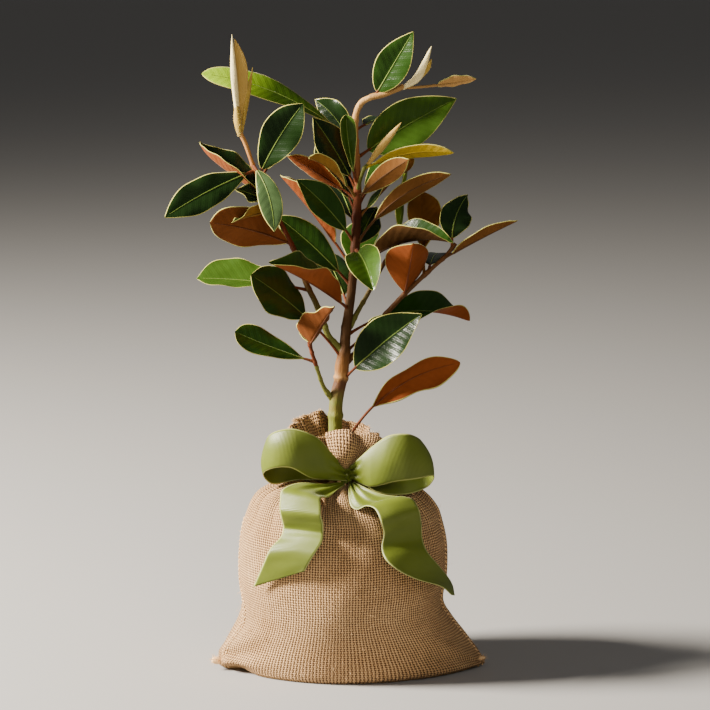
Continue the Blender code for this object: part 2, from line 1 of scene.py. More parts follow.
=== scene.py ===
"""Young broad-leaved evergreen sapling on its root ball, tied up in a jute sack.

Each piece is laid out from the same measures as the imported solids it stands
for. Sizes are in millimetres and angles in degrees, unless a comment says
otherwise; meshes are made in metres, +Z up, front at -Y. Leaves, limbs,
stitches and fibres are grown by Geometry Nodes from those sizes.
"""
import math
from contextlib import contextmanager
from dataclasses import dataclass

import bmesh
import bpy
import numpy as np
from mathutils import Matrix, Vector


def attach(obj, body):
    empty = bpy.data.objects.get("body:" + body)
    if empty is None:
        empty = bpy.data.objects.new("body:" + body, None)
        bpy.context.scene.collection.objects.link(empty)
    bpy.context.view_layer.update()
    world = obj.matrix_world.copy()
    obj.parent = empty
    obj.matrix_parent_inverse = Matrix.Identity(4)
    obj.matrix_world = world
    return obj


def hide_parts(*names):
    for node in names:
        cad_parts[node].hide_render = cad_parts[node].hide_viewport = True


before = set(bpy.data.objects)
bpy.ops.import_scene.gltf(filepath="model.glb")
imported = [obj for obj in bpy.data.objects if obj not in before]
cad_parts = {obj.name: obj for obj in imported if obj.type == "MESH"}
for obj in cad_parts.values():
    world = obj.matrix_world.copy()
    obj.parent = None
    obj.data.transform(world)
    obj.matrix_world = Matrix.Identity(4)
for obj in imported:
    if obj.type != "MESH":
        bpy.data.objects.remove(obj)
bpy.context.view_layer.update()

MM = 0.001
ROOT = "root"            # the plant has no joints, so every piece rides on one body
CLEAR = 0.3              # the trunk is measured from this far above the ball
FOOT_SUNK = 6            # and its bark goes this far below that

# ---- sizes: sack and mouth
# Sections of the filled sack: height, reach to the left, to the right, to the
# front and to the back, and how pointed its two sides are (0.5 is an ellipse,
# 1 a lens with a corner at each side).
SACK_SECTIONS = [
    (0, 112, 121, 56, 70, 0.84),
    (4, 119, 130, 61, 76, 0.86),
    (13, 117, 127, 65, 80, 0.82),
    (30, 110, 114, 70, 83, 0.70),
    (50, 99, 98, 76, 85, 0.58),
    (66, 95, 90, 80, 86, 0.50),
    (90, 97, 94, 83, 86, 0.50),
    (118, 96, 94, 83, 85, 0.50),
    (140, 93, 89, 79, 80, 0.50),
    (158, 85, 82, 71, 72, 0.50),
    (170, 73, 70, 59, 60, 0.50),
    (178, 52, 48, 43, 44, 0.50),
    (182, 33, 30, 28, 28, 0.50),
    (184, 22, 20, 20, 20, 0.50),
]

SACK_AROUND, SACK_UP = 380, 236        # mesh lines round the sack, and up it
SACK_CORNERS = [(-124, -1), (130, 1)]  # x of the lower corners, and which side each is on
SACK_FOLD = (-19, 170, 6)              # x, height and depth of one fold left of the knot
HEM_LUMP = (-106, 11, 5)               # and of the lump that the hem is gathered into
WAIST = (96, 92, 83, 86)               # reach to the left, right, front and back
WAIST_RADIUS = 95                      # the same, on the whole
PLEATS = 11                            # pairs of gathers below the tie
PLEAT_DEPTH, PLEATS_FROM = 3.4, 108    # the height is where they begin
SEAM_HEIGHT, SEAM_WIDTH = 1.5, 2.6
SEWN_LINES = range(9, 150, 3)          # mesh lines at which a seam's stitches are placed

# Frayed knots at the ends of the bottom seam: place, way it points, length, radius.
TUFTS = [
    ((-115, -8, 8), (-1, -0.3, 0.22), 9, 3.4),
    ((125, -4, 9), (1, -0.2, 0.25), 7, 2.0),
]

NECK_HEIGHT = 184        # flat top inside the tie, where the trunk stands
NECK_X = -5              # middle of the tied neck
NECK_FROM = 150          # height from which the sections lean over to it

# Gathered mouth above the tie: heading, height of the rim, reach of the rim.
MOUTH_RIM = [
    (0, 218, 42), (30, 223, 38), (60, 229, 33), (90, 230, 31), (120, 240, 32),
    (150, 236, 38), (180, 231, 43), (205, 225, 40), (235, 224, 32),
    (262, 229, 28), (290, 229, 27), (315, 224, 32), (340, 219, 40),
]
MOUTH_FOOT = 20          # radius of the bunched cloth inside the tie
MOUTH_NECK = 198         # the cloth is bunched up to here and opens above
MOUTH_OPENS = 0.26       # share of the mesh lines below that height
MOUTH_FOLD = 268         # heading at which its rim folds outwards
MOUTH_GIRTH = 56         # radius that the weave is laid out on
MOUTH_AROUND, MOUTH_UP = 300, 44         # mesh lines
LOBE_ACROSS, LOBE_ALONG = 36, 48
CLOTH_THICK = 1.6

# The mouth's cloth folds over at the front, and again at its right: rows of
# points from inside the mouth, over the rim and down to the tie.
LOBE_FRONT = [
    ((-15, -12, 219), (-4, -12, 221), (7, -12, 221), (12, -14, 217)),
    ((-17, -21, 227), (-6, -22, 230), (5, -22, 230), (13, -22, 224)),
    ((-16, -29, 221), (-6, -33, 223), (5, -33, 222), (13, -29, 218)),
    ((-12, -32, 212), (-5, -36, 212), (4, -36, 211), (10, -31, 210)),
    ((-7, -31, 203), (-3, -34, 203), (2, -34, 202), (7, -30, 203)),
    ((-1, -29, 196), (0, -30, 195), (1, -30, 195), (3, -29, 196)),
]
LOBE_RIGHT = [
    ((10, -12, 215), (20, -12, 217), (29, -11, 216), (34, -11, 213)),
    ((10, -20, 224), (20, -19, 226), (30, -18, 224), (37, -18, 220)),
    ((10, -27, 217), (19, -26, 219), (28, -24, 219), (34, -22, 217)),
    ((7, -29, 208), (15, -29, 211), (23, -28, 213), (30, -26, 213)),
    ((4, -28, 198), (11, -29, 203), (18, -29, 207), (25, -28, 210)),
]

# ---- sizes: ribbon
RIBBON_WIDTH = 40
RIBBON_CLOTH = 0.7       # its thickness
PINCH = 1.7              # how far its pleats stand out at the knot
RIBBON_ALONG, RIBBON_ACROSS = 110, 18    # mesh lines of a loop or a tail
KNOT_AROUND, KNOT_DEEP, BAND_AROUND = 96, 40, 160
BAND_BOTTOM, BAND_TOP = 186, 197
BAND_RADIUS, BAND_GIRTH = 20.8, 134
KNOT_MIDDLE = (2.5, -29.5, 190)
KNOT_SIZE = (8, 6.5, 8.5)

# Each station is a point on one edge and the point across from it on the other.
# Loops run out along the front strand and back along the one behind, upper edge
# first; tails hang, left edge first.
LOOP_LEFT = [
    (1, -31, 197, 2, -31, 185),
    (-11, -38, 212, -13, -37, 187),
    (-25, -43, 228, -30, -43, 190),
    (-45, -46, 236, -48, -51, 201),
    (-62, -43, 233, -64, -48, 200),
    (-71, -31, 223, -74, -33, 191),
    (-66, -16, 214, -66, -18, 179),
    (-45, -13, 212, -45, -17, 182),
    (-21, -20, 203, -22, -25, 184.5),
    (-2, -26, 195, -2, -27.5, 185),
]
LOOP_RIGHT = [
    (6, -31, 198, 7, -31, 186),
    (15, -37, 208, 16, -41, 184),
    (27, -42, 220, 27, -48, 183),
    (41, -46, 230, 45, -51, 188),
    (58, -44, 231, 64, -48, 190),
    (70, -33, 223, 82, -35, 190),
    (68, -17, 213, 75, -21, 176),
    (51, -13, 208, 54, -36, 173),
    (31, -17, 201, 31, -43.5, 176.5),
    (12, -26, 195, 11, -33, 186),
]
TAIL_LEFT = [
    (-1, -32, 184, 0, -34, 181),
    (-17, -40, 184.5, -7, -48, 179),
    (-38, -47, 186.5, -14, -59, 175.5),
    (-55, -61, 183.5, -20.5, -77, 178),
    (-57.5, -69, 174.5, -20.5, -85.5, 172.5),
    (-57.5, -73.5, 166, -20.5, -90, 166),
    (-56, -69.5, 157, -18.5, -86, 157),
    (-55, -64.5, 148.5, -18.5, -81.5, 147.5),
    (-57.5, -69.5, 141, -19.5, -88, 142),
    (-66.5, -74, 131, -25, -92, 133),
    (-73, -69, 116, -31, -89, 122),
    (-82.5, -60, 92.5, -35, -86, 114),
]
TAIL_RIGHT = [
    (4, -34, 182.5, 9, -33, 183),
    (4, -50, 177, 19, -47, 181.5),
    (6, -62, 168.5, 33, -59, 178.5),
    (12, -68, 166, 46, -63, 177),
    (20, -73, 170.5, 55, -64, 176.5),
    (28, -79, 169, 63, -65, 174),
    (33, -84, 159, 68, -69, 165),
    (36, -79, 146, 70, -61, 152),
    (34, -81, 134, 71, -61, 139),
    (38, -88, 124, 75, -66, 128),
    (50, -88, 114, 84, -62, 115),
    (68, -81, 104, 93, -51, 102),
    (88, -68, 95, 99, -43, 90),
    (98, -56, 84, 101, -50, 82),
]

# ---- sizes: limbs
# Each limb: x, y, z of its middle and its radius, from its foot to its tip.
TRUNK = [
    (-6, 1, NECK_HEIGHT + CLEAR, 9.4), (-7, 1, 194, 7.6), (-8, 1, 214, 6.7),
    (-8, 1, 238, 6.3), (-7, 1, 256, 6.3), (-3, 1, 274, 6.0), (-2, 1, 286, 6.6),
    (0, 1, 300, 5.3), (2, 1, 321, 4.6), (7, 0, 358, 4.0), (10, 0, 395, 4.0),
    (12, 0, 432, 3.8), (12, 0, 462, 3.5), (10, 0, 498, 3.1), (11, 0, 517, 2.9),
    (16, -1, 528, 2.8), (25, -2, 533, 2.6),
]

# Limbs that spring from the trunk: height and heading of the foot on the
# trunk's side, its radius there, and the stations that follow.
BOUGHS = {
    "bough_left": (301, 186, 3.3, [
        (-14, -2, 314, 2.9), (-19, -4, 328, 2.8), (-26, -6, 346, 2.7),
        (-34, -9, 363, 2.6), (-41, -11, 384, 2.5), (-47, -13, 399, 2.4)]),
    "bough_low_left": (255, 188, 2.6, [
        (-19, -6, 268, 2.0), (-24, -14, 284, 1.8), (-26, -17, 291, 1.8)]),
    "bough_right": (322, 12, 2.7, [
        (13, 5, 337, 2.2), (21, 7, 351, 2.1), (33, 9, 374, 2.0), (42, 10, 388, 1.9)]),
    "bough_right_low": (289, 18, 2.8, [
        (14, 4, 302, 2.4), (31, 1, 326, 2.3), (51, -2, 349, 2.2)]),
}

# Stems of the leafy masses, which carry on from the tips of the limbs.
STEMS = {
    "foliage_left": [
        (-47.3, -13.1, 399.8, 2.2), (-56, -16, 418, 2.1), (-66, -18, 437, 2.0), (-75, -19, 455, 1.9),
        (-82, -20, 473, 1.9), (-88, -21, 491, 2.0), (-94, -22, 504, 2.2),
    ],
    "foliage_low_left": [
        (-26.3, -17.3, 291.8, 1.8), (-29, -20, 301, 1.7), (-32, -22, 312, 1.6),
    ],
    "foliage_right": [
        (42.4, 10.1, 388.6, 1.8), (47, 10, 396, 1.7), (51, 10, 404, 1.6),
    ],
    "foliage_right_low": [
        (51.6, -2.1, 349.6, 2.1), (58, -3, 356, 2.1), (70, -5, 368, 2.0),
        (82, -5, 379, 1.9), (93, -4, 389, 1.8), (102, -3, 400, 1.7),
    ],
    "foliage_tip": [
        (25.9, -2.1, 533.3, 2.5), (33, -3, 535, 2.4), (43, -4, 538, 2.3), (54, -4, 543, 2.2),
    ],
}
# The small shoot on the trunk's front is a mass too: its foot, and its stations.
SHOOT = (450, 282, 1.7, [(15, -8, 459, 1.6), (18, -9, 468, 1.7), (22, -9, 473, 1.7)])

# Ring scars of old leaves on the trunk: the height of each, then how far it
# stands out and its half height.
SCARS = {
    240: (1.1, 3.2), 275: (1.2, 2.2), 300: (0.8, 3.0), 322: (0.5, 2.0), 370: (0.5, 1.6),
    396: (0.6, 1.8), 412: (0.5, 1.6), 425: (0.9, 3.5), 443: (0.7, 1.8), 462: (0.6, 1.8),
    479: (0.6, 1.6), 493: (0.6, 1.6), 512: (0.5, 1.5),
}

# ---- sizes: leaves
BLADE_FULLNESS = 1.52    # 1 is an oval, 2 a lens
STALK_RADIUS = 1.25
POSTURE_STEPS = 180      # steps that a leaf's droop is laid out in
BLADE_ROWS, RIB_ROWS = 58, 30
VEIN_PITCH = 0.0075      # between side veins, metres
VEIN_SLANT = 0.75        # how far they run forward


@dataclass
class Leaf:
    """One leaf's habit, in degrees and millimetres."""

    heading: float            # where it points, on the whole
    lift: float
    length: float             # of stalk and blade together
    width: float              # of the blade
    roll: float = 0           # 0 has its upper face up, 90 turned to the front
    arch: float = 20          # droop from base to tip; minus curves upwards
    fold: float = 12          # how far each half is raised from flat
    twist: float = 0          # turn of the blade, base to tip
    hook: float = 0           # further droop at the tip
    stalk: float = 14
    widest: float = 0.58      # where along the blade it is widest
    at: float = None          # height on its stem
    upper: str = "deep"       # tones of its two faces
    under: str = "rust"
    wave: float = 1.0         # how wavy its margin is
    near: float = None        # fold of the half nearer the front, where it differs
    curl: float = None        # how far its margins are turned down
    point: float = 0.8        # how blunt its tip is


# Leaves borne by the trunk itself, each one a piece of its own.
TRUNK_LEAVES = {
    # seen from the front, from the sack's mouth up
    "leaf_01_mouth_right": Leaf(350, 38, 146, 32, roll=-66, arch=56, at=206, stalk=50, fold=10,
                                widest=0.62, wave=4.2, curl=0.50, point=3.4),
    "leaf_02_front_right": Leaf(325, 38, 107, 48, roll=92, arch=10, at=276, stalk=14, fold=22,
                                widest=0.52, curl=0.05),
    "leaf_03_back_right": Leaf(18, 3, 123, 42, roll=46, arch=56, at=316, stalk=22, fold=45,
                               twist=-150, curl=0.02, point=2.6, upper="green"),
    "leaf_04_left_round": Leaf(203, 42, 117, 50, roll=58, arch=20, at=297, stalk=48, fold=8,
                               widest=0.60, upper="green", wave=1.6, point=2.4),
    "leaf_05_left_rust": Leaf(225, 27, 110, 50, roll=8, arch=14, at=341, stalk=8, fold=66,
                              near=42, twist=64, curl=0.0, wave=1.6, upper="bright"),
    "leaf_06_front_folded": Leaf(286, -28, 66, 40, roll=26, arch=44, at=394, stalk=6, fold=38,
                                 widest=0.50, upper="bright", curl=0.02, point=2.0),
    "leaf_07_left_dark": Leaf(180, 43, 92, 32, roll=72, arch=14, at=363, stalk=14, fold=16,
                              upper="green"),
    "leaf_08_left_split": Leaf(166, 51, 106, 38, roll=-20, arch=12, at=379, stalk=24, fold=46,
                               twist=30, curl=0.0),
    "leaf_09_left_upper": Leaf(204, 46, 80, 34, roll=76, arch=18, at=403, stalk=10, fold=18,
                               upper="green"),
    "leaf_10_right_arched": Leaf(343, 17, 101, 46, roll=-4, arch=62, at=375, stalk=20, fold=66,
                                 near=46, twist=56, curl=0.0, upper="green", under="umber"),
    "leaf_11_right_brown": Leaf(344, 36, 110, 21, roll=-60, arch=44, at=402, stalk=24, fold=16,
                                widest=0.56, twist=30, upper="green", under="brown"),
    "leaf_12_back_dark": Leaf(62, 44, 58, 30, roll=40, arch=30, at=390, stalk=10, fold=10),
    "leaf_13_right_narrow": Leaf(357, 47, 72, 21, roll=-10, arch=6, at=425, stalk=8, fold=20,
                                 twist=-130, upper="pale", under="russet", point=1.4),
    "leaf_14_left_rust_upper": Leaf(163, 30, 75, 24, roll=-56, arch=14, at=441, stalk=12, fold=16),
    "leaf_15_left_curl": Leaf(220, 36, 67, 22, roll=8, arch=30, at=443, stalk=12, fold=30,
                              twist=-110, upper="bright", under="ochre", curl=0.04, point=1.6),
    "leaf_16_right_rust": Leaf(318, 32, 70, 22, roll=-70, arch=12, at=443, stalk=4, fold=22,
                               under="brown"),
    "leaf_17_front_upright": Leaf(240, 74, 64, 21, roll=136, arch=-22, at=457, stalk=8, fold=44,
                                  upper="bright", widest=0.76, point=3.6),
    "leaf_18_left_dark_upper": Leaf(196, 58, 74, 34, roll=84, arch=10, at=453, stalk=9, fold=14),
    "leaf_19_right_glossy": Leaf(8, 30, 104, 50, roll=76, arch=10, at=479, stalk=10, fold=24,
                                 widest=0.44, upper="bright", curl=0.10),
    "leaf_20_left_round_top": Leaf(144, 44, 62, 36, roll=88, arch=36, at=487, stalk=8, fold=14),
    "leaf_21_left_sweep": Leaf(181, 24, 152, 29, roll=44, arch=36, at=493, stalk=24, fold=12,
                               widest=0.66, upper="fresh", under="ochre", point=1.4),
    # behind the trunk
    "leaf_22_back": Leaf(38, 20, 92, 38, arch=30, at=300),
    "leaf_23_back": Leaf(82, 30, 92, 38, arch=34, at=368, upper="green"),
    "leaf_24_back": Leaf(110, 30, 92, 38, arch=30, at=340),
    "leaf_25_back": Leaf(106, 26, 96, 40, arch=34, at=412),
    "leaf_26_back": Leaf(126, 42, 86, 34, arch=30, at=428),
    "leaf_27_back": Leaf(50, 34, 84, 34, arch=26, at=436, upper="green"),
    "leaf_28_back": Leaf(116, 32, 80, 34, arch=24, at=474),
    "leaf_29_back": Leaf(58, 8, 62, 28, arch=20, at=503),
}

# A leaf that the left bough bears below its mass.
BOUGH_LEAVES = {
    "leaf_30_left_far": Leaf(173, 5, 103, 46, roll=32, arch=12, at=358, stalk=14, fold=26,
                             widest=0.66, curl=0.03, upper="bright", point=1.8),
}

# Leaves fused to the stem of each mass.
MASS_LEAVES = {
    "foliage_left": [
        # big rust underside, and a small yellow-brown one curled over it
        Leaf(194, 16, 79, 42, roll=-66, arch=20, at=400.4, stalk=3, fold=12, widest=0.62,
             wave=2.2, point=2.6, under="sienna"),
        Leaf(212, -10, 46, 26, roll=-40, arch=22, at=431, stalk=1, fold=20, twist=84,
             under="ochre", wave=2.6, point=1.8, widest=0.34),
        # half rust, half green, its tip curled up
        Leaf(172, 34, 84, 40, roll=26, arch=8, at=440, stalk=10, fold=36, near=58, curl=0.0,
             hook=-46),
        # small and dark
        Leaf(208, 22, 38, 24, roll=50, arch=20, at=438, stalk=5, wave=4.0),
        # large and glossy, drooping
        Leaf(205, -24, 96, 33, roll=60, arch=14, at=468, stalk=8, curl=0.16, wave=1.8),
        # upright and dark
        Leaf(330, 55, 84, 38, roll=108, arch=16, at=461, stalk=8, fold=20, wave=2.4, point=1.3),
        # hanging, pale gloss
        Leaf(306, -60, 70, 22, roll=40, arch=60, at=473, stalk=6, fold=8, upper="pale"),
        # behind
        Leaf(122, 14, 68, 30, arch=34, at=430),
        Leaf(56, 36, 66, 30, arch=20, at=458),
    ],
    "foliage_low_left": [
        Leaf(188, 22, 79, 28, roll=58, arch=-8, at=293, stalk=8, widest=0.72, point=3.0,
             wave=2.0, upper="green"),
        Leaf(313, 50, 52, 48, roll=-15, arch=10, at=309, stalk=3, fold=46, widest=0.32,
             curl=0.02, wave=2.0, under="sienna"),
        Leaf(96, 20, 52, 20, arch=20, at=302),
    ],
    "foliage_right": [
        # upright and olive, its tip fresh
        Leaf(34, 81, 78, 17, roll=-54, arch=4, at=400, stalk=10, fold=26, twist=110,
             upper="lime", under="leafy"),
        Leaf(64, 8, 60, 28, arch=34, at=392),
    ],
    "foliage_right_low": [
        # rust cup
        Leaf(284, 58, 60, 50, arch=-8, at=353, stalk=3, fold=34, curl=0.0, point=2.0),
        # two brown halves, in the lighter russet felt: painted light, so that the leaf reads as lit
        Leaf(93, 62, 84, 44, roll=175, arch=-8, at=371, stalk=26, fold=-42, curl=0.02,
             under="russet", point=1.8),
        # dark and curled
        Leaf(40, 68, 54, 36, roll=62, arch=60, at=396, stalk=8, twist=50, wave=3.0),
        # narrow and brown
        Leaf(352, 28, 78, 20, roll=-30, arch=6, at=386, stalk=8, fold=30, twist=20,
             upper="green", under="brown"),
        Leaf(80, 8, 70, 32, arch=30, at=374),
    ],
    "foliage_tip": [
        Leaf(334, 57, 70, 34, roll=100, arch=2, at=533.8, stalk=4, fold=18, widest=0.48,
             upper="green"),
        # young, cream and tan
        Leaf(4, 7, 71, 14, roll=-60, arch=-10, at=541, stalk=34, fold=34, wave=3.0,
             upper="cream", under="tan", widest=0.5),
        Leaf(76, 44, 54, 24, arch=20, at=536),
    ],
    "side_shoot": [
        Leaf(356, 10, 84, 16, roll=-56, arch=38, at=469, stalk=6, upper="lime", under="gold"),
    ],
}

# Buds on those stems: base, middle and tip of each, its widest radius, how much
# flatter than wide it is, and its tone.
BUD_PROFILE = [0.45, 0.62, 0.8, 0.95, 1.0, 0.94, 0.75, 0.45, 0.04]
BUDS = {
    "foliage_left": [
        # a slim spear, the young leaf that stands out from it, and a small one
        ((-94, -22, 502), (-98, -23, 548), (-100, -22, 590), 2.9, 0.9, "bud"),
        ((-94.5, -21, 506), (-91, -21.5, 556), (-97.5, -21.5, 586), 5.4, 0.16, "young"),
        ((-92, -21.5, 500), (-87, -20, 532), (-81.5, -19, 561), 2.3, 0.9, "golden"),
        # the golden sheath at the foot of the spear
        ((-93.6, -22.6, 499), (-95.2, -23.2, 514), (-96.4, -23.4, 531), 3.5, 0.8, "golden"),
    ],
    "foliage_tip": [
        ((53, -4, 541), (68, -6, 553), (79, -6, 579), 3.6, 0.9, "bud"),
        ((68, -6.4, 549), (75.5, -7.4, 559), (79, -6.8, 568), 2.0, 0.6, "golden"),
    ],
    "side_shoot": [
        ((21, -9, 472), (35, -12, 490), (52, -13, 511), 3.4, 0.9, "young"),
    ],
}

# ---- colours
THREAD_PITCH = 0.0026    # jute threads, metres
STRAW, TAN_STRAW = (0.82, 0.52, 0.25), (0.60, 0.33, 0.13)
# DARK_STRAW fills the low places of the weave: its openings, and painted shade in the hollows
# between and under the threads.
DARK_STRAW, PALE_STRAW = (0.055, 0.020, 0.006), (0.92, 0.78, 0.50)
RIBBON_OLIVE, RIBBON_LIGHT = (0.075, 0.102, 0.006), (0.142, 0.176, 0.015)
RIBBON_EDGE = (0.36, 0.38, 0.11)
RIBBON_RIB = 0.0011      # between the fine ribs of its weave, metres
UPPER_TONES = {
    "deep": (0.0055, 0.017, 0.002),
    "green": (0.014, 0.041, 0.003),
    "bright": (0.028, 0.063, 0.005),
    "fresh": (0.036, 0.078, 0.005),
    "lime": (0.22, 0.34, 0.010),
    "pale": (0.034, 0.060, 0.020),
    "cream": (0.74, 0.52, 0.22),
}
TIP_TONES = {"fresh": (0.26, 0.42, 0.010)}
UNDER_TONES = {
    "rust": (0.175, 0.040, 0.006),
    "sienna": (0.115, 0.032, 0.005),
    "umber": (0.066, 0.027, 0.005),
    "brown": (0.120, 0.046, 0.008),
    # russet, a lighter brown; on the leaf of two brown halves it is painted light
    "russet": (0.175, 0.064, 0.008),
    "ochre": (0.185, 0.090, 0.011),
    "gold": (0.46, 0.31, 0.010),
    "olive": (0.110, 0.115, 0.010),
    "leafy": (0.130, 0.190, 0.012),
    "tan": (0.50, 0.27, 0.08),
}
SKINS = {
    # tone: the finish's name, its colour, its roughness
    "margin": ("leaf margin", (0.56, 0.52, 0.13), 0.6),
    "rib": ("leaf rib", (0.15, 0.22, 0.032), 0.4),
    "bud": ("downy bud", (1.0, 0.84, 0.42), 0.75),
    "young": ("young leaf", (0.56, 0.35, 0.080), 0.7),
    "golden": ("golden bud", (0.50, 0.33, 0.060), 0.7),
}
BARK_TOP = 600           # height at which the barks' scale of colours ends
BARKS = {
    # heights, with the colour at each
    "trunk bark": [
        (180, (0.17, 0.20, 0.028)), (240, (0.16, 0.18, 0.026)), (247, (0.18, 0.15, 0.030)),
        (252, (0.15, 0.165, 0.028)), (261, (0.15, 0.11, 0.030)), (267, (0.12, 0.055, 0.024)),
        (273, (0.12, 0.052, 0.022)), (277, (0.48, 0.25, 0.080)), (283, (0.26, 0.115, 0.030)),
        (294, (0.19, 0.080, 0.022)), (302, (0.085, 0.038, 0.012)), (350, (0.080, 0.038, 0.011)),
        (385, (0.085, 0.028, 0.008)), (425, (0.055, 0.012, 0.003)), (452, (0.20, 0.055, 0.018)),
        (500, (0.38, 0.17, 0.055)), (530, (0.60, 0.35, 0.12))],
    "green bough": [
        (250, (0.17, 0.18, 0.035)), (325, (0.16, 0.165, 0.032)), (360, (0.10, 0.055, 0.015)),
        (400, (0.085, 0.022, 0.007))],
    "brown bough": [(280, (0.10, 0.045, 0.014)), (400, (0.14, 0.055, 0.016))],
    "upper bough": [
        (280, (0.15, 0.038, 0.012)), (400, (0.10, 0.020, 0.006)), (450, (0.14, 0.034, 0.010)),
        (470, (0.36, 0.13, 0.035)), (490, (0.50, 0.24, 0.070))],
}
STEM_TONES = {
    "foliage_left": "upper bough", "foliage_low_left": "upper bough",
    "foliage_right": "brown bough", "foliage_right_low": "brown bough",
    "foliage_tip": "tan stalk", "side_shoot": "olive stalk",
}

# ---- camera, floor, light
CAMERA_PLACE = (0.010, -2.2717, 0.6563)
CAMERA_AIM = (0.010, 0, 0.2965)
VIEW_SIDE, FOCAL_LENGTH = 710, 2500    # both in pixels of the square view
SENSOR_WIDTH = 36
FLOOR_GREY, FLOOR_REACH = (0.34, 0.33, 0.32), 250
SKY_COLOUR, SKY_STRENGTH = (1.0, 0.98, 0.95), 0.10
LIT_POINT = (0, 0, 0.25)
LAMPS = {
    # place, width, power, colour, and whether it shows in glossy faces
    "key": ((-2.5, -0.38, 1.6), 0.8, 570, (1.0, 0.93, 0.82), True),
    "fill": ((0.6, -2.6, 1.9), 1.6, 22, (1.0, 0.96, 0.92), False),
}


def placed(name, data):
    """An object in the scene, made of some data."""
    thing = bpy.data.objects.new(name, data)
    bpy.context.scene.collection.objects.link(thing)
    return thing


def aimed(thing, aim):
    """Turns a camera or a light to look at a point."""
    thing.rotation_euler = (Vector(aim) - thing.location).to_track_quat("-Z", "Y").to_euler()


def camera():
    """The camera, a little above the plant's middle and looking slightly down."""
    data = bpy.data.cameras.new("camera")
    data.sensor_width = SENSOR_WIDTH
    data.lens = data.sensor_width * FOCAL_LENGTH / VIEW_SIDE
    shot = placed("camera", data)
    shot.location = CAMERA_PLACE
    aimed(shot, CAMERA_AIM)
    bpy.context.scene.camera = shot


def softbox(name, place, side, power, colour, shines):
    """A round soft lamp."""
    data = bpy.data.lights.new(name, "AREA")
    data.shape = "DISK"
    data.size = side
    data.energy = power
    data.color = colour
    lamp = placed(name, data)
    lamp.location = place
    lamp.visible_glossy = shines
    aimed(lamp, LIT_POINT)


# ---- building of nodes
MIXED_COLOUR = 2         # which output of a mix node is its colour
RANDOM_NUMBER = 1        # which output of a random value is a plain number


def operator(operation, swapped=False):
    """The method of a field that adds a node for one operation."""
    def method(self, other):
        return self.combined(operation, *((other, self) if swapped else (self, other)))

    return method


class Field:
    """A node's output that can be used in sums; each operator adds a node."""

    def __init__(self, nodes, socket):
        self.nodes = nodes
        self.socket = socket

    def combined(self, operation, left, right):
        vectors = [isinstance(side, (tuple, list)) or isinstance(side, Field)
                   and side.socket.type == "VECTOR" for side in (left, right)]
        if operation == "MULTIPLY" and vectors == [True, False]:
            return self.nodes.vector("SCALE", left, scale=right)
        if any(vectors):
            return self.nodes.vector(operation, left, right)
        return self.nodes.math(operation, left, right)

    __add__, __radd__ = operator("ADD"), operator("ADD", swapped=True)
    __sub__, __rsub__ = operator("SUBTRACT"), operator("SUBTRACT", swapped=True)
    __mul__ = __rmul__ = operator("MULTIPLY")
    __truediv__, __rtruediv__ = operator("DIVIDE"), operator("DIVIDE", swapped=True)
    __pow__ = operator("POWER")

    def __abs__(self):
        return self.nodes.math("ABSOLUTE", self)


class Nodes:
    """Adds nodes to a tree, with their inputs set or wired."""

    def __init__(self, tree):
        self.tree = tree

    def add(self, kind, inputs=(), **settings):
        node = self.tree.nodes.new(kind)
        for name, value in settings.items():
            setattr(node, name, value)
        for key, value in dict(inputs).items():
            self.feed(node, key, value)
        return node

    def feed(self, node, key, value):
        if isinstance(key, str) and key not in node.inputs:
            socket = next(s for s in node.inputs if s.identifier == key)
        else:
            socket = node.inputs[key]
        if isinstance(value, Field):
            value = value.socket
        if isinstance(value, bpy.types.NodeSocket):
            self.tree.links.new(value, socket)
        elif value is not None:
            socket.default_value = value

    def out(self, kind, inputs=(), output=0, **settings):
        return Field(self, self.add(kind, inputs, **settings).outputs[output])

    def geo(self, kind, inputs=(), output=0, **settings):
        return self.out("GeometryNode" + kind, inputs, output, **settings)

    def math(self, operation, a, b=None, c=None):
        return self.out("ShaderNodeMath", {0: a, 1: b, 2: c}, operation=operation)

    def vector(self, operation, a, b=None, scale=None):
        output = "Value" if operation in ("LENGTH", "DOT_PRODUCT") else "Vector"
        return self.out("ShaderNodeVectorMath", {0: a, 1: b, "Scale": scale}, output,
                        operation=operation)

    def xyz(self, x=0.0, y=0.0, z=0.0):
        return self.out("ShaderNodeCombineXYZ", {"X": x, "Y": y, "Z": z})

    def parts(self, vector):
        node = self.add("ShaderNodeSeparateXYZ", {0: vector})
        return [Field(self, socket) for socket in node.outputs]

    def sine(self, angle):
        return self.math("SINE", angle)

    def cosine(self, angle):
        return self.math("COSINE", angle)

    def lowest(self, a, b):
        return self.math("MINIMUM", a, b)

    def highest(self, a, b):
        return self.math("MAXIMUM", a, b)

    def noise(self, vector, scale, detail=2.0, roughness=0.5):
        return self.out("ShaderNodeTexNoise", {"Vector": vector, "Scale": scale,
                                               "Detail": detail, "Roughness": roughness})


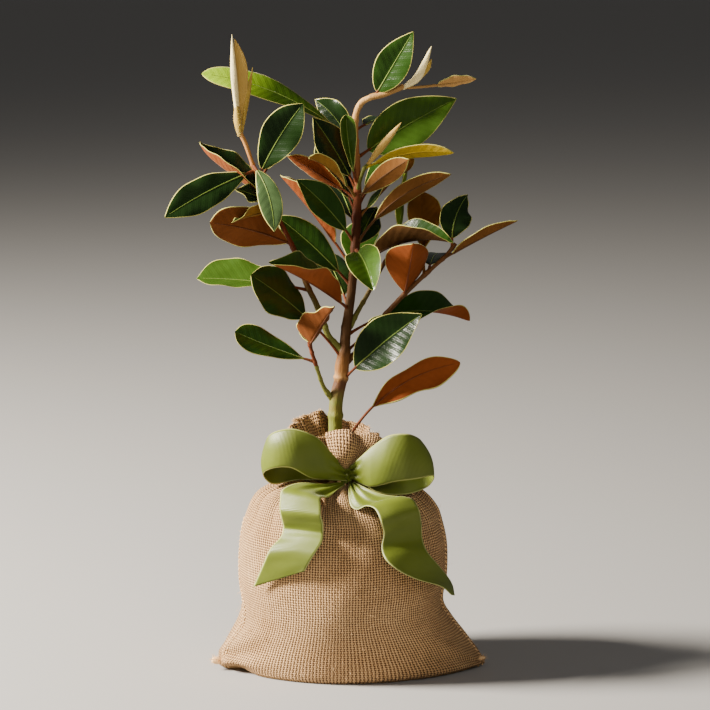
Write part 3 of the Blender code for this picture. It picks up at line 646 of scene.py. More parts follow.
# ---- materials
class Finish(Nodes):
    """A Principled material whose colour, roughness and bump come from nodes."""

    def __init__(self, name, colour, roughness, **plain):
        self.material = bpy.data.materials.new(name)
        self.material.use_nodes = True
        super().__init__(self.material.node_tree)
        self.shader = self.tree.nodes["Principled BSDF"]
        self.set("Base Color", (*colour, 1))
        self.set("Roughness", roughness)
        for name, value in plain.items():
            self.set(name.replace("_", " "), value)

    def set(self, name, value):
        self.feed(self.shader, name, value)

    def place(self):
        return self.out("ShaderNodeTexCoord", output="Object")

    def uv(self):
        return self.parts(self.out("ShaderNodeUVMap", uv_map="UVMap"))

    def ramp(self, factor, *stops):
        """Colours at positions along a factor."""
        node = self.add("ShaderNodeValToRGB", {0: factor})
        band = node.color_ramp
        while len(band.elements) < len(stops):
            band.elements.new(0.5)
        for element, (position, colour) in zip(band.elements, stops):
            element.position = position
            element.color = (*colour, 1)
        return Field(self, node.outputs["Color"])

    def mix(self, factor, first, second, how="MIX"):
        """Mixes two colours, each a tuple or a field."""
        first, second = ((*colour, 1) if isinstance(colour, tuple) else colour
                         for colour in (first, second))
        return self.out("ShaderNodeMix",
                        {"Factor_Float": factor, "A_Color": first, "B_Color": second},
                        MIXED_COLOUR, data_type="RGBA", blend_type=how)

    def bump(self, height, distance, strength=1.0):
        self.set("Normal", self.out("ShaderNodeBump", {"Height": height, "Distance": distance,
                                                       "Strength": strength}))


def jute_cloth():
    """Plain weave on the cloth's own UV: threads over and under, with gaps between, and painted
    shade where the weave lies low.
    """
    made = Finish("jute cloth", STRAW, 0.92, Specular_IOR_Level=0.10, Sheen_Weight=0.06,
                  Sheen_Roughness=0.6)
    u, v, _ = made.uv()
    cloth = made.xyz(u, v)
    drift = made.noise(cloth, 60.0, 1.0) * 0.5 - 0.25
    a = u / THREAD_PITCH + drift
    b = v / (0.9 * THREAD_PITCH) + made.noise(cloth + (5.0, 0, 0), 60.0, 1.0) * 0.5
    # Which warp and weft thread a point is on, and how far off the middle of each.
    column, line = made.math("FLOOR", a), made.math("FLOOR", b)
    warp_off, weft_off = a - column - 0.5, b - line - 0.5
    warp_sign = made.cosine(column * math.pi)
    weft_sign = made.cosine(line * math.pi)
    # Thick and thin places run along each thread.
    warp_slub = made.noise(made.xyz(column * 7.3, v * 90.0), 1.0, 2.0)
    weft_slub = made.noise(made.xyz(line * 5.1, u * 90.0, 4.0), 1.0, 2.0)
    warp_half = warp_slub * 0.22 + 0.25
    weft_half = weft_slub * 0.24 + 0.29
    # Round threads, each above its neighbour at one crossing and below at the next.
    warp_round = 1.0 - made.lowest(abs(warp_off / warp_half), 1.0) ** 2.0
    weft_round = 1.0 - made.lowest(abs(weft_off / weft_half), 1.0) ** 2.0
    warp_height = warp_round * (warp_sign * made.sine(b * math.pi) * 0.4 + 0.6)
    weft_height = weft_round * (0.46 - weft_sign * made.sine(a * math.pi) * 0.44)
    height = made.highest(warp_height, weft_height)
    fibres = made.noise(made.xyz(u * 3.0, v), 2600.0, 2.0)
    shade = made.ramp(made.noise(cloth, 22.0, 3.0), (0.30, TAN_STRAW), (0.72, STRAW))
    thread = made.mix(warp_slub * 0.7, shade, STRAW)
    thread = made.mix(fibres * 0.35, thread, TAN_STRAW)
    # Darker as the weave lies lower: the openings between threads, and painted shade down the
    # threads' sides and where one passes under another.
    open_weave_and_shade = made.lowest(height * 1.75 - 0.22, 1.0)
    made.set("Base Color", made.mix(open_weave_and_shade, DARK_STRAW, thread))
    made.bump(height + fibres * 0.15, 0.0015)
    return made.material


def jute_thread():
    made = Finish("jute thread", STRAW, 0.9, Specular_IOR_Level=0.10, Sheen_Weight=0.06)
    strands = made.noise(made.place(), 900.0, 3.0)
    made.set("Base Color", made.ramp(strands, (0.25, TAN_STRAW), (0.5, STRAW), (0.8, PALE_STRAW)))
    made.bump(strands, 0.0004)
    return made.material


def ribbon_satin():
    """Fine ribs across the ribbon's width, with a plain woven edge at each side."""
    made = Finish("olive ribbon", RIBBON_OLIVE, 0.42, Specular_IOR_Level=0.55,
                  Sheen_Weight=0.07, Sheen_Roughness=0.35, Sheen_Tint=(0.95, 1.0, 0.70, 1),
                  Anisotropic=0.4)
    across, along, _ = made.uv()
    width = RIBBON_WIDTH * MM
    from_edge = made.lowest(across, width - across)
    edge = made.ramp(from_edge / width, (0.0, (1, 1, 1)), (0.016, (1, 1, 1)), (0.03, (0, 0, 0)))
    ribs = made.sine(along * (2 * math.pi / RIBBON_RIB))
    warp = made.noise(made.xyz(across * 2500.0, along * 60.0), 1.0, 2.0)
    cloudy = made.noise(made.xyz(across, along), 45.0, 2.0)
    ground = made.mix(cloudy, RIBBON_OLIVE, RIBBON_LIGHT)
    ground = made.mix(warp * 0.4, ground, RIBBON_LIGHT)
    made.set("Base Color", made.mix(edge, ground, RIBBON_EDGE))
    made.set("Roughness", cloudy * 0.14 + 0.36)
    made.bump(ribs * 0.5 + warp * 0.6, 0.00012, 0.8)
    return made.material


def bark(name, zones):
    """Smooth young bark whose colour changes with height."""
    made = Finish(name, zones[0][1], 0.62, Specular_IOR_Level=0.18)
    place = made.place()
    _, _, height = made.parts(place)
    mottle = made.noise(place * (1.0, 1.0, 0.35), 260.0, 3.0, 0.6)
    level = height / (BARK_TOP * MM) + (mottle - 0.5) * 0.02
    colour = made.ramp(level, *[(z / BARK_TOP, tone) for z, tone in zones])
    streaks = made.noise(place * (1.0, 1.0, 0.12), 900.0, 2.0)
    colour = made.mix(streaks * 0.5, colour, made.mix(1.0, colour, (0.45, 0.36, 0.28), "MULTIPLY"))
    made.set("Base Color", colour)
    made.set("Roughness", mottle * 0.3 + 0.45)
    made.bump(streaks * 0.5 + mottle, 0.0006)
    return made.material


def tinted(colour, scale, lift=0.0):
    """A lighter or darker shade of a colour."""
    return tuple(min(1, channel * scale + lift) for channel in colour)


def leaf_face(name, colour, tip):
    """Glossy upper face: veins pressed in, a finer net between them, a waxy shine.

    tip is a colour that it turns to beyond its base, or None.
    """
    made = Finish(name, colour, 0.2, Specular_IOR_Level=0.26)
    along, across, _ = made.uv()
    place = made.place()
    cloudy = made.noise(place, 55.0, 2.0)
    net = made.out("ShaderNodeTexVoronoi", {"Vector": made.xyz(along, across * 1.3),
                                            "Scale": 420.0}, feature="DISTANCE_TO_EDGE")
    veins = made.sine((along - abs(across) * VEIN_SLANT) * (2 * math.pi / VEIN_PITCH))
    tint = made.mix(cloudy * 0.8 + veins * 0.04, tinted(colour, 0.6), tinted(colour, 1.6, 0.004))
    if tip is not None:
        beyond = made.highest(along / 0.05 - 1.2, 0.0)
        tint = made.mix(made.math("SMOOTH_MIN", beyond, 1.0, 0.3), tint, tip)
    made.set("Base Color", tint)
    made.set("Roughness", cloudy * 0.14 + 0.17)
    relief = made.lowest(net * 6.0, 1.0) * 0.18 - veins * veins * veins * 0.3 + cloudy
    made.bump(relief, 0.0005, 0.34)
    return made.material


def leaf_felt(name, colour):
    """Felted lower face: matt, slightly mottled, with a soft bloom."""
    made = Finish(name, colour, 0.80, Specular_IOR_Level=0.08, Sheen_Weight=0.06,
                  Sheen_Roughness=0.45, Sheen_Tint=(1.0, 0.60, 0.30, 1))
    along, across, _ = made.uv()
    place = made.place()
    nap = made.noise(place, 1500.0, 3.0, 0.65)
    cloudy = made.noise(place, 70.0, 2.0)
    veins = made.sine((along - abs(across) * VEIN_SLANT) * (2 * math.pi / VEIN_PITCH))
    made.set("Base Color", made.mix(cloudy * 0.6 + nap * 0.35 + veins * 0.03,
                                    tinted(colour, 0.62), tinted(colour, 1.4, 0.006)))
    made.bump(nap * 0.5 + veins * 0.25, 0.0004, 0.7)
    return made.material


def soft_skin(name, colour, roughness):
    """Margins, ribs, stalks and buds: pale, finely downy."""
    made = Finish(name, colour, roughness, Specular_IOR_Level=0.15, Sheen_Weight=0.12,
                  Sheen_Roughness=0.4)
    down = made.noise(made.place() * (1.0, 1.0, 0.3), 1400.0, 3.0)
    cloudy = made.noise(made.place(), 120.0, 2.0)
    made.set("Base Color", made.mix(down * 0.4 + cloudy * 0.6, tinted(colour, 0.62), colour))
    made.bump(down, 0.0003)
    return made.material


# ---- shape of curves
def unit(vector):
    vector = np.asarray(vector, float)
    return vector / np.linalg.norm(vector)


def units(vectors):
    return vectors / np.linalg.norm(vectors, axis=1, keepdims=True)


def smooth_through(stations, count):
    """Points on a Catmull-Rom curve through the stations, evenly in parameter."""
    rows = np.asarray(stations, float)
    rows = np.vstack([2 * rows[0] - rows[1], rows, 2 * rows[-1] - rows[-2]])
    spans = len(rows) - 3
    out = []
    for step in np.linspace(0, spans, count):
        index = min(int(step), spans - 1)
        t = step - index
        a, b, c, d = rows[index:index + 4]
        out.append(0.5 * (2 * b + (c - a) * t + (2 * a - 5 * b + 4 * c - d) * t**2
                          + (3 * b - a - 3 * c + d) * t**3))
    return np.array(out)


def point_on(stations, height):
    """Middle and radius of a limb at a height."""
    rows = smooth_through(stations, 8 * len(stations))
    return np.array([np.interp(height, rows[:, 2], rows[:, k]) for k in range(4)])


# ---- plain meshes
def lofted(name, rings, capped=False, closed=False, places=None):
    """A mesh of quads between rings of equal count, in millimetres.

    closed joins each ring's last point to its first; places gives a UV, in
    metres, for each point of a ring and one more that repeats its start.
    """
    rings = np.asarray(rings, float)
    lines, around = rings.shape[:2]
    index = np.arange(lines * around).reshape(lines, around)
    if closed:
        index = np.hstack([index, index[:, :1]])
    quads = np.stack([index[:-1, :-1], index[:-1, 1:], index[1:, 1:], index[1:, :-1]], axis=-1)
    faces = quads.reshape(-1, 4).tolist()
    if capped:
        faces += [index[0, :around][::-1].tolist(), index[-1, :around].tolist()]
    data = bpy.data.meshes.new(name)
    data.from_pydata((rings.reshape(-1, 3) * MM).tolist(), [], faces)
    if places is not None:
        places = np.asarray(places, float)
        corners = [places[row + i, column + j]
                   for row in range(lines - 1) for column in range(index.shape[1] - 1)
                   for i, j in ((0, 0), (0, 1), (1, 1), (1, 0))]
        corners += [(0, 0)] * (len(data.loops) - len(corners))
        layer = data.uv_layers.new(name="UVMap")
        layer.data.foreach_set("uv", np.array(corners, np.float32).ravel())
    data.shade_smooth()
    return data


def cloth_places(across, along):
    """UV places, in metres, of a grid laid out on cloth in millimetres."""
    return np.stack(np.meshgrid(across, along), axis=2) * MM


def lengths_along(points):
    """How far each point of a line is from its start."""
    steps = np.linalg.norm(np.diff(points, axis=0), axis=1)
    return np.concatenate([[0], np.cumsum(steps)])


def settled(base):
    """The mesh that an object's modifiers make; the object itself goes."""
    graph = bpy.context.evaluated_depsgraph_get()
    made = bpy.data.meshes.new_from_object(base.evaluated_get(graph),
                                           preserve_all_data_layers=True, depsgraph=graph)
    bpy.data.objects.remove(base)
    return made


def thickened(data, thickness):
    """A sheet given its thickness, in millimetres, half to each side."""
    base = placed(data.name, data)
    solid = base.modifiers.new("cloth", "SOLIDIFY")
    solid.thickness = thickness * MM
    solid.offset = 0
    return settled(base)


@contextmanager
def editing(data):
    """Opens a mesh for editing, and writes it back at the end."""
    mesh = bmesh.new()
    mesh.from_mesh(data)
    yield mesh
    mesh.to_mesh(data)
    mesh.free()


def turned_out(data):
    """The same mesh with its faces pointing outwards."""
    with editing(data) as mesh:
        bmesh.ops.recalc_face_normals(mesh, faces=mesh.faces)
    return data


def piece(name, meshes, slot, *nodes, finish=None):
    """One finished piece, joined from plain meshes."""
    if finish is not None:
        for data in meshes:
            data.materials.clear()
            data.materials.append(finish)
    things = [placed(name, data) for data in meshes]
    if len(things) > 1:
        with bpy.context.temp_override(active_object=things[0], object=things[0],
                                       selected_objects=things,
                                       selected_editable_objects=things):
            bpy.ops.object.join()
    whole = things[0]
    whole.name = name
    whole.data.name = name
    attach(whole, ROOT)
    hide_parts(*nodes)
    return whole


# ---- growth trees
class Growth(Nodes):
    """A Geometry Nodes tree with named inputs, ending in Realize Instances and Set Material."""

    def __init__(self, name, **sizes):
        super().__init__(bpy.data.node_groups.new(name, "GeometryNodeTree"))
        self.socket("Geometry", "NodeSocketGeometry", None)
        for label, value in sizes.items():
            kind = {int: "NodeSocketInt", float: "NodeSocketFloat"}.get(type(value),
                                                                     "NodeSocketMaterial")
            self.socket(label, kind, value)
        self.tree.interface.new_socket("Geometry", in_out="OUTPUT",
                                       socket_type="NodeSocketGeometry")
        self.entry = self.tree.nodes.new("NodeGroupInput")
        self.seedling = self.size("Geometry")

    def socket(self, label, kind, value):
        made = self.tree.interface.new_socket(label, in_out="INPUT", socket_type=kind)
        if value is not None:
            made.default_value = value

    def size(self, label):
        return Field(self, self.entry.outputs[label])

    def attribute(self, label, kind="FLOAT"):
        return self.geo("InputNamedAttribute", {"Name": label}, data_type=kind)

    def stored(self, geometry, label, value, kind="FLOAT", domain="POINT"):
        return self.geo("StoreNamedAttribute",
                        {"Geometry": geometry, "Name": label, "Value": value},
                        data_type=kind, domain=domain)

    def painted(self, geometry, label, only=None):
        return self.geo("SetMaterial", {"Geometry": geometry, "Selection": only,
                                        "Material": self.size(label)})

    def smooth(self, geometry):
        return self.geo("SetShadeSmooth", {"Geometry": geometry})

    def strewn(self, spots, thing, spin, scale):
        """A copy of a thing at every spot, turned from the spot's own rotation."""
        points, rotation = (Field(self, spots.outputs[name]) for name in ("Points", "Rotation"))
        turn = self.out("FunctionNodeEulerToRotation", {"Euler": spin})
        way = self.out("FunctionNodeRotateRotation", {"Rotation": rotation, "Rotate By": turn},
                       rotation_space="LOCAL")
        return self.geo("InstanceOnPoints", {"Points": points, "Instance": thing,
                                             "Rotation": way, "Scale": scale})

    def end(self, geometry, label, only=None):
        real = self.geo("RealizeInstances", {"Geometry": geometry})
        leaving = self.add("NodeGroupOutput")
        self.feed(leaving, "Geometry", self.painted(real, label, only))
        return self.tree


def grown(tree, data, **sizes):
    """The plain mesh that a tree makes of a mesh, with its sizes set by name."""
    base = placed("growing", data)
    modifier = base.modifiers.new("growth", "NODES")
    modifier.node_group = tree
    for item in tree.interface.items_tree:
        if item.in_out == "INPUT" and item.name in sizes:
            modifier[item.identifier] = sizes[item.name]
    return settled(base)


def course(lines, **values):
    """A mesh of edges along one or more lines, in millimetres, with values at its points."""
    points = np.vstack(lines)
    edges, start = [], 0
    for line in lines:
        edges += [(start + i, start + i + 1) for i in range(len(line) - 1)]
        start += len(line)
    data = bpy.data.meshes.new("course")
    data.from_pydata((points * MM).tolist(), edges, [])
    for name, rows in values.items():
        rows = np.asarray(rows, np.float32)
        kind, field = ("FLOAT", "value") if rows.ndim == 1 else ("FLOAT_VECTOR", "vector")
        data.attributes.new(name, kind, "POINT").data.foreach_set(field, rows.ravel())
    return data


def limb_growth():
    """A round limb along a course, as thick as its girth, with the bark's relief."""
    t = Growth("limb", Sides=12, Relief=0.0, Grain=400.0, Bark=None)
    curve = t.geo("MeshToCurve", {"Mesh": t.seedling})
    ring = t.geo("CurvePrimitiveCircle", {"Resolution": t.size("Sides"), "Radius": 1.0})
    tube = t.geo("CurveToMesh", {"Curve": curve, "Profile Curve": ring,
                                 "Scale": t.attribute("girth"), "Fill Caps": True})
    place = t.geo("InputPosition") * (1.0, 1.0, 0.4)
    rough = t.noise(place, t.size("Grain"), 3.0, 0.6) - 0.5
    outward = t.geo("InputNormal")
    tube = t.geo("SetPosition", {"Geometry": tube, "Offset": outward * (rough * t.size("Relief"))})
    return t.end(t.smooth(tube), "Bark")


def blade_growth():
    """A leaf blade grown over its midrib: a thin closed shell with a narrow margin.

    The course's points carry the blade's upward face, its left side, its half
    width, its fold and its share of the blade, from base to tip.
    """
    t = Growth("blade", Columns=22, Margin_Width=0.00065, Thickness=0.0008, Margin_Curl=0.10,
               Wave_Height=0.0015, Waves=2.5, Wave_Start=0.0, Length=0.1, Vein_Pitch=0.0075,
               Vein_Relief=0.0003, Upper=None, Under=None, Margin=None)
    count = t.geo("AttributeDomainSize", {"Geometry": t.seedling}, "Point Count")
    columns = t.size("Columns")
    grid = t.geo("MeshGrid", {"Vertices X": count, "Vertices Y": columns})
    index = t.geo("InputIndex")
    row = t.math("FLOOR", index / columns)
    column = index - row * columns

    def along(value, kind="FLOAT"):
        return t.geo("SampleIndex", {"Geometry": t.seedling, "Value": value, "Index": row},
                     data_type=kind)

    middle = along(t.geo("InputPosition"), "FLOAT_VECTOR")
    face = along(t.attribute("face", "FLOAT_VECTOR"), "FLOAT_VECTOR")
    left = along(t.attribute("left", "FLOAT_VECTOR"), "FLOAT_VECTOR")
    half = along(t.attribute("half"))
    fold, skew = along(t.attribute("fold")), along(t.attribute("skew"))
    share = along(t.attribute("share"))

    # The first and last columns are the margin's edge; the rest share the width inside it.
    slot = (column - 1.0) / (columns - 3.0) * 2.0 - 1.0
    side = t.math("SIGN", slot)
    at_edge = t.math("GREATER_THAN", abs(slot), 1.01)
    inner = t.highest(1.0 - t.size("Margin_Width") / half, 0.6)
    v = slot * inner
    v = v + at_edge * (side - v)
    reach = abs(v)
    fold = fold + side * skew
    # Each half rises straight from the rib, with the crease between them rounded.
    rise = t.math("SQRT", v * v + 0.004) - 0.063
    curl = reach ** 3.0 * t.size("Margin_Curl")
    # The margins wave out of step with each other, and lie still at both ends.
    turn = (share * t.size("Waves") + t.size("Wave_Start") + side * 0.29) * (2 * math.pi)
    ends = t.math("SQRT", t.sine(share * math.pi))
    wave = t.sine(turn) * reach ** 2.5 * ends * t.size("Wave_Height")
    vein = abs(t.sine((share * t.size("Length") - reach * half * VEIN_SLANT)
                      * (math.pi / t.size("Vein_Pitch"))))
    quilt = vein * (1.0 - reach ** 4.0) * t.lowest(reach * 5.0, 1.0) * ends * t.size("Vein_Relief")
    out = left * (half * v * t.cosine(fold))
    up = face * (half * (rise * t.sine(fold) - curl) + wave + quilt)
    blade = t.geo("SetPosition", {"Geometry": grid, "Position": middle + out + up})
    blade = t.stored(blade, "from_base", share * t.size("Length"))
    blade = t.stored(blade, "from_rib", v * half)
    blade = t.stored(blade, "edging", at_edge)
    blade = t.stored(blade, "UVMap", t.xyz(t.attribute("from_base"), t.attribute("from_rib")),
                     "FLOAT2", "CORNER")
    # The lower face is a little below the upper one, and meets it all round.
    thin = t.math("SQRT", t.highest(1.0 - reach ** 4.0, 0.0)) * t.size("Thickness")
    thin = thin * t.lowest(share * (1.0 - share) * 30.0, 1.0)
    below = t.geo("InputNormal") * (thin * -1.0)
    under = t.geo("SetPosition", {"Geometry": blade, "Offset": below})
    under = t.painted(t.geo("FlipFaces", {"Mesh": under}), "Under")
    both = t.add("GeometryNodeJoinGeometry")
    for half_shell in (under, t.painted(blade, "Upper")):
        t.feed(both, "Geometry", half_shell)
    shell = t.geo("MergeByDistance", {"Geometry": Field(t, both.outputs[0]), "Distance": 1e-6})
    rim = t.math("GREATER_THAN", t.attribute("edging"), 0.1)
    return t.end(t.smooth(shell), "Margin", rim)


def bristle_growth():
    """Fine bent hairs scattered over a surface, standing or lying at random."""
    t = Growth("bristles", Per_Square_Metre=9000.0, Hair_Length=0.008, Hair_Girth=0.00012,
               Lean=0.8, Lowest=0.0, Seed=1, Hair=None)
    seed = t.size("Seed")
    _, _, height = t.parts(t.geo("InputPosition"))
    clear = t.math("GREATER_THAN", height, t.size("Lowest"))
    spots = t.add("GeometryNodeDistributePointsOnFaces",
                  {"Mesh": t.seedling, "Density": t.size("Per_Square_Metre") * clear,
                   "Seed": seed})
    bend = t.geo("CurveQuadraticBezier",
                 {"Resolution": 4, "Start": (0, 0, 0), "Middle": (0.05, 0, 0.55),
                  "End": (0.45, 0.1, 0.85)})
    ring = t.geo("CurvePrimitiveCircle", {"Resolution": 3, "Radius": 1.0})
    taper = 1.0 - t.geo("SplineParameter") * 0.8
    girth = taper * (t.size("Hair_Girth") / t.size("Hair_Length"))
    hair = t.geo("CurveToMesh", {"Curve": bend, "Profile Curve": ring,
                                 "Scale": girth, "Fill Caps": True})

    def chance(low, high, offset):
        return t.out("FunctionNodeRandomValue",
                     {"Min_001": low, "Max_001": high, "Seed": seed + offset}, RANDOM_NUMBER)

    spin = t.xyz(chance(0.0, t.size("Lean"), 1.0), 0.0, chance(-math.pi, math.pi, 2.0))
    length = t.size("Hair_Length") * chance(0.35, 1.0, 3.0)
    return t.end(t.strewn(spots, hair, spin, length), "Hair")


def stitch_growth():
    """Short plump stitches laid end to end along a course, each slightly askew."""
    t = Growth("stitches", Spacing=0.004, Stitch_Length=0.0032, Stitch_Girth=0.0006, Askew=0.5,
               Thread=None)
    curve = t.geo("MeshToCurve", {"Mesh": t.seedling})
    spots = t.add("GeometryNodeCurveToPoints", {"Curve": curve, "Length": t.size("Spacing")},
                  mode="LENGTH")
    ball = t.geo("MeshIcoSphere", {"Radius": 1.0, "Subdivisions": 2})
    shape = t.xyz(t.size("Stitch_Girth"), t.size("Stitch_Girth"), t.size("Stitch_Length") * 0.5)
    return t.end(t.strewn(spots, ball, t.xyz(t.size("Askew")), shape), "Thread")


# ---- sack and mouth
def gathers(angle, pairs):
    """Uneven rounded folds with sharp valleys between them, from 0 to 1."""
    phase = pairs * angle + 1.1 * np.sin(2 * angle + 0.7) + 0.8 * np.sin(5 * angle + 2.1)
    return np.abs(np.sin(phase)) ** 0.75


def bell(distance, width):
    return np.exp(-(distance / width) ** 2)


def surface_normals(points):
    """Outward normals of a grid of points that goes round and then up."""
    around = np.roll(points, -1, axis=1) - np.roll(points, 1, axis=1)
    up = np.gradient(points, axis=0)
    normals = np.cross(around, up)
    return normals / np.maximum(np.linalg.norm(normals, axis=2, keepdims=True), 1e-9)


def seam_heading(level):
    """Heading of the left side seam, which lies forward of the corner near the hem."""
    low = np.clip((90 - level) / 45, 0, 1)
    return math.pi + 0.33 * low * low * (3 - 2 * low)


def sack_surface():
    """Points of the sack and their places on its cloth, in millimetres."""
    rows = smooth_through(SACK_SECTIONS, SACK_UP)
    rows[:, 0] = np.clip(rows[:, 0], 0, NECK_HEIGHT)
    angle = np.linspace(0, 2 * math.pi, SACK_AROUND, endpoint=False)
    height, left, right, front, back, pointed = (column[:, None] for column in rows.T)
    lean = NECK_X * np.maximum(0, height - NECK_FROM) / (NECK_HEIGHT - NECK_FROM)
    across, deep = np.cos(angle)[None], np.sin(angle)[None]
    x = lean + np.where(across > 0, right, left) * across
    y = np.where(deep > 0, back, -front) * np.abs(deep) ** (2 * pointed)
    points = np.stack([x, y, height + 0 * x], axis=2)

    # How far the cloth stands in or out of the smooth shape: the gathers, broad
    # dents, ripples at the waist, and creases that fan out of the lower corners.
    level = height + 0 * x
    turn = angle[None] + 0 * x
    gathered = np.clip((level - PLEATS_FROM) / 60, 0, 1) ** 1.6
    out = PLEAT_DEPTH * gathered * (gathers(turn, PLEATS) - 0.55)
    out += 1.3 * np.sin(3 * turn + level / 31) * np.sin(level / 27 + 1.2 * turn)
    out += 0.7 * np.sin(8 * turn - level / 17) * bell(level - 120, 50)
    for corner_x, sense in SACK_CORNERS:
        away = np.hypot(x - corner_x, level - 4)
        fan = np.arctan2(level - 4, np.abs(x - corner_x) + 6)
        out += 1.7 * np.sin(13 * fan + sense) * bell(away - 34, 30)
    fold_x, fold_level, fold_depth = SACK_FOLD
    above = level - fold_level
    out -= fold_depth * bell(x - fold_x + 0.25 * above, 3.2) * bell(above, 11) * (y < 0)
    seam = bell(np.minimum(turn, 2 * math.pi - turn) * WAIST_RADIUS, SEAM_WIDTH)
    seam = np.maximum(seam, bell((turn - seam_heading(level)) * WAIST_RADIUS, SEAM_WIDTH))
    out += SEAM_HEIGHT * seam * np.clip(level / 6, 0, 1)
    # The left corner of the hem is gathered into a small lump, and drawn up beside it.
    lump_x, lump_level, lump_depth = HEM_LUMP
    out += lump_depth * bell(x - lump_x, 5) * bell(level - lump_level, 6) * (y < 0)
    out *= np.clip(level / 5, 0.0, 1) * np.clip((NECK_HEIGHT + 3 - level) / 6, 0, 1)
    points = points + surface_normals(points) * out[:, :, None]
    drawn_up = 5.0 * bell(x + 97, 13) * bell(level, 9) * (y < -6)
    points[:, :, 2] = np.maximum(points[:, :, 2], 0) + drawn_up

    # The cloth's threads run round the sack at its waist, and up the middle of its front.
    to_left, to_right, to_front, to_back = WAIST
    waist = np.stack([np.where(np.cos(angle) > 0, to_right, to_left) * np.cos(angle),
                      np.where(np.sin(angle) > 0, to_back, to_front) * np.sin(angle)], axis=1)
    round_it = lengths_along(np.vstack([waist, waist[:1]]))
    up_it = lengths_along(points[:, SACK_AROUND * 3 // 4])
    return points, cloth_places(round_it, up_it)


def hairs(trees, data, finish, per_square_metre, length, girth, lean, seed, lowest=0.0):
    """Fine hairs on a mesh, above a height, in metres."""
    return grown(trees["bristle"], data.copy(), Hair=finish, Per_Square_Metre=per_square_metre,
                 Hair_Length=length, Hair_Girth=girth, Lean=lean, Lowest=lowest, Seed=seed)


def sack_body(cloth, thread, trees):
    """The filled sack, the stitches of its side seams and its loose fibres."""
    points, places = sack_surface()
    floor_ring = [points[0] * (share, share, 1) for share in (0.35, 0.7)]
    rings = np.concatenate([floor_ring, points])
    under = np.repeat(places[:1], 2, axis=0)
    body = lofted("sack_body", rings, capped=True, closed=True,
                  places=np.concatenate([under, places]))
    sack = piece("sack_body", [turned_out(body)], "jute", "root_ball", finish=cloth)

    # Two rows of stitches beside each side seam, and hairs of loose fibre.
    rows, proud = [], points + surface_normals(points) * 0.3
    for line in SEWN_LINES:
        left = seam_heading(points[line, 0, 2]) / (2 * math.pi) * SACK_AROUND
        rows.append([proud[line, round(column) % SACK_AROUND]
                     for column in (4, -4, left - 2.5, left + 2.5)])
    sewn = grown(trees["stitch"], course([np.array(side) for side in zip(*rows)]), Thread=thread)
    piece("sack_stitches", [sewn], "jute", "root_ball")
    short = hairs(trees, sack.data, thread, 9000.0, 0.0065, 0.00012, 1.35, 3, lowest=0.008)
    stray = hairs(trees, sack.data, thread, 1500.0, 0.013, 0.00014, 1.1, 9, lowest=0.014)
    piece("sack_loose_fibres", [short, stray], "jute", "root_ball")


def corner_tufts(thread, trees):
    """The frayed, knotted ends of the bottom seam."""
    meshes = []
    for place, way, length, radius in TUFTS:
        steps = np.linspace(0, 1, 9)
        line = np.array(place) + np.outer(steps * length, unit(way))
        girth = radius * np.sqrt(np.clip(1 - (steps * 1.6 - 0.8) ** 2, 0.04, 1))
        knot = limb_mesh(trees, [(line, girth)], thread, 16, 0.0012, 500.0)
        meshes.append(knot)
        meshes.append(hairs(trees, knot, thread, 900000.0, 0.005, 0.00016, 0.9, 5, lowest=0.007))
    piece("sack_corner_tufts", meshes, "jute", "root_ball")


def mouth_surface():
    """Outer points of the gathered mouth, from inside the tie to its rim."""
    angle = np.linspace(0, 2 * math.pi, MOUTH_AROUND, endpoint=False)
    rim = np.array(MOUTH_RIM, float)
    degrees = np.degrees(angle)
    rim_height = np.interp(degrees, rim[:, 0], rim[:, 1], period=360)
    rim_reach = np.interp(degrees, rim[:, 0], rim[:, 2], period=360)
    rings = []
    for share in np.linspace(0, 1, MOUTH_UP):
        opening = max(0, (share - MOUTH_OPENS) / (1 - MOUTH_OPENS))
        height = NECK_HEIGHT + (MOUTH_NECK - NECK_HEIGHT) * min(1, share / MOUTH_OPENS)
        height = height + (rim_height - MOUTH_NECK) * opening
        reach = MOUTH_FOOT + (rim_reach - MOUTH_FOOT) * opening ** 0.8
        ruffle = (gathers(angle + 0.4, 6) - 0.5) * 6.0 * opening
        ruffle += (gathers(angle, PLEATS) - 0.5) * 2.2 * (1 - opening)
        from_front = (degrees - MOUTH_FOLD + 180) % 360 - 180
        fold_over = bell(from_front, 26)
        ruffle = ruffle * (1 - 0.8 * fold_over) + 6.0 * fold_over * opening * (1 - 0.35 * opening)
        height = height - 3.0 * fold_over * opening ** 3
        uneven = 0.8 * np.sin(9 * angle + 1) + 0.6 * np.sin(23 * angle)
        height = height + uneven * opening
        reach = reach + ruffle - 1.5
        middle = NECK_X - 2 * opening
        rings.append(np.stack([middle + reach * np.cos(angle), reach * np.sin(angle), height],
                              axis=1))
    return np.array(rings), angle


def folded_lobe(rows, start):
    """A lobe of cloth turned over the rim, through rows of points."""
    across = np.array([smooth_through(row, LOBE_ACROSS) for row in rows])
    points = np.stack([smooth_through(column, LOBE_ALONG) for column in across.swapaxes(0, 1)],
                      axis=1)
    places = cloth_places(np.linspace(start, start + 30, LOBE_ACROSS),
                          np.linspace(0, 45, LOBE_ALONG))
    return thickened(lofted("lobe", points, places=places), CLOTH_THICK)


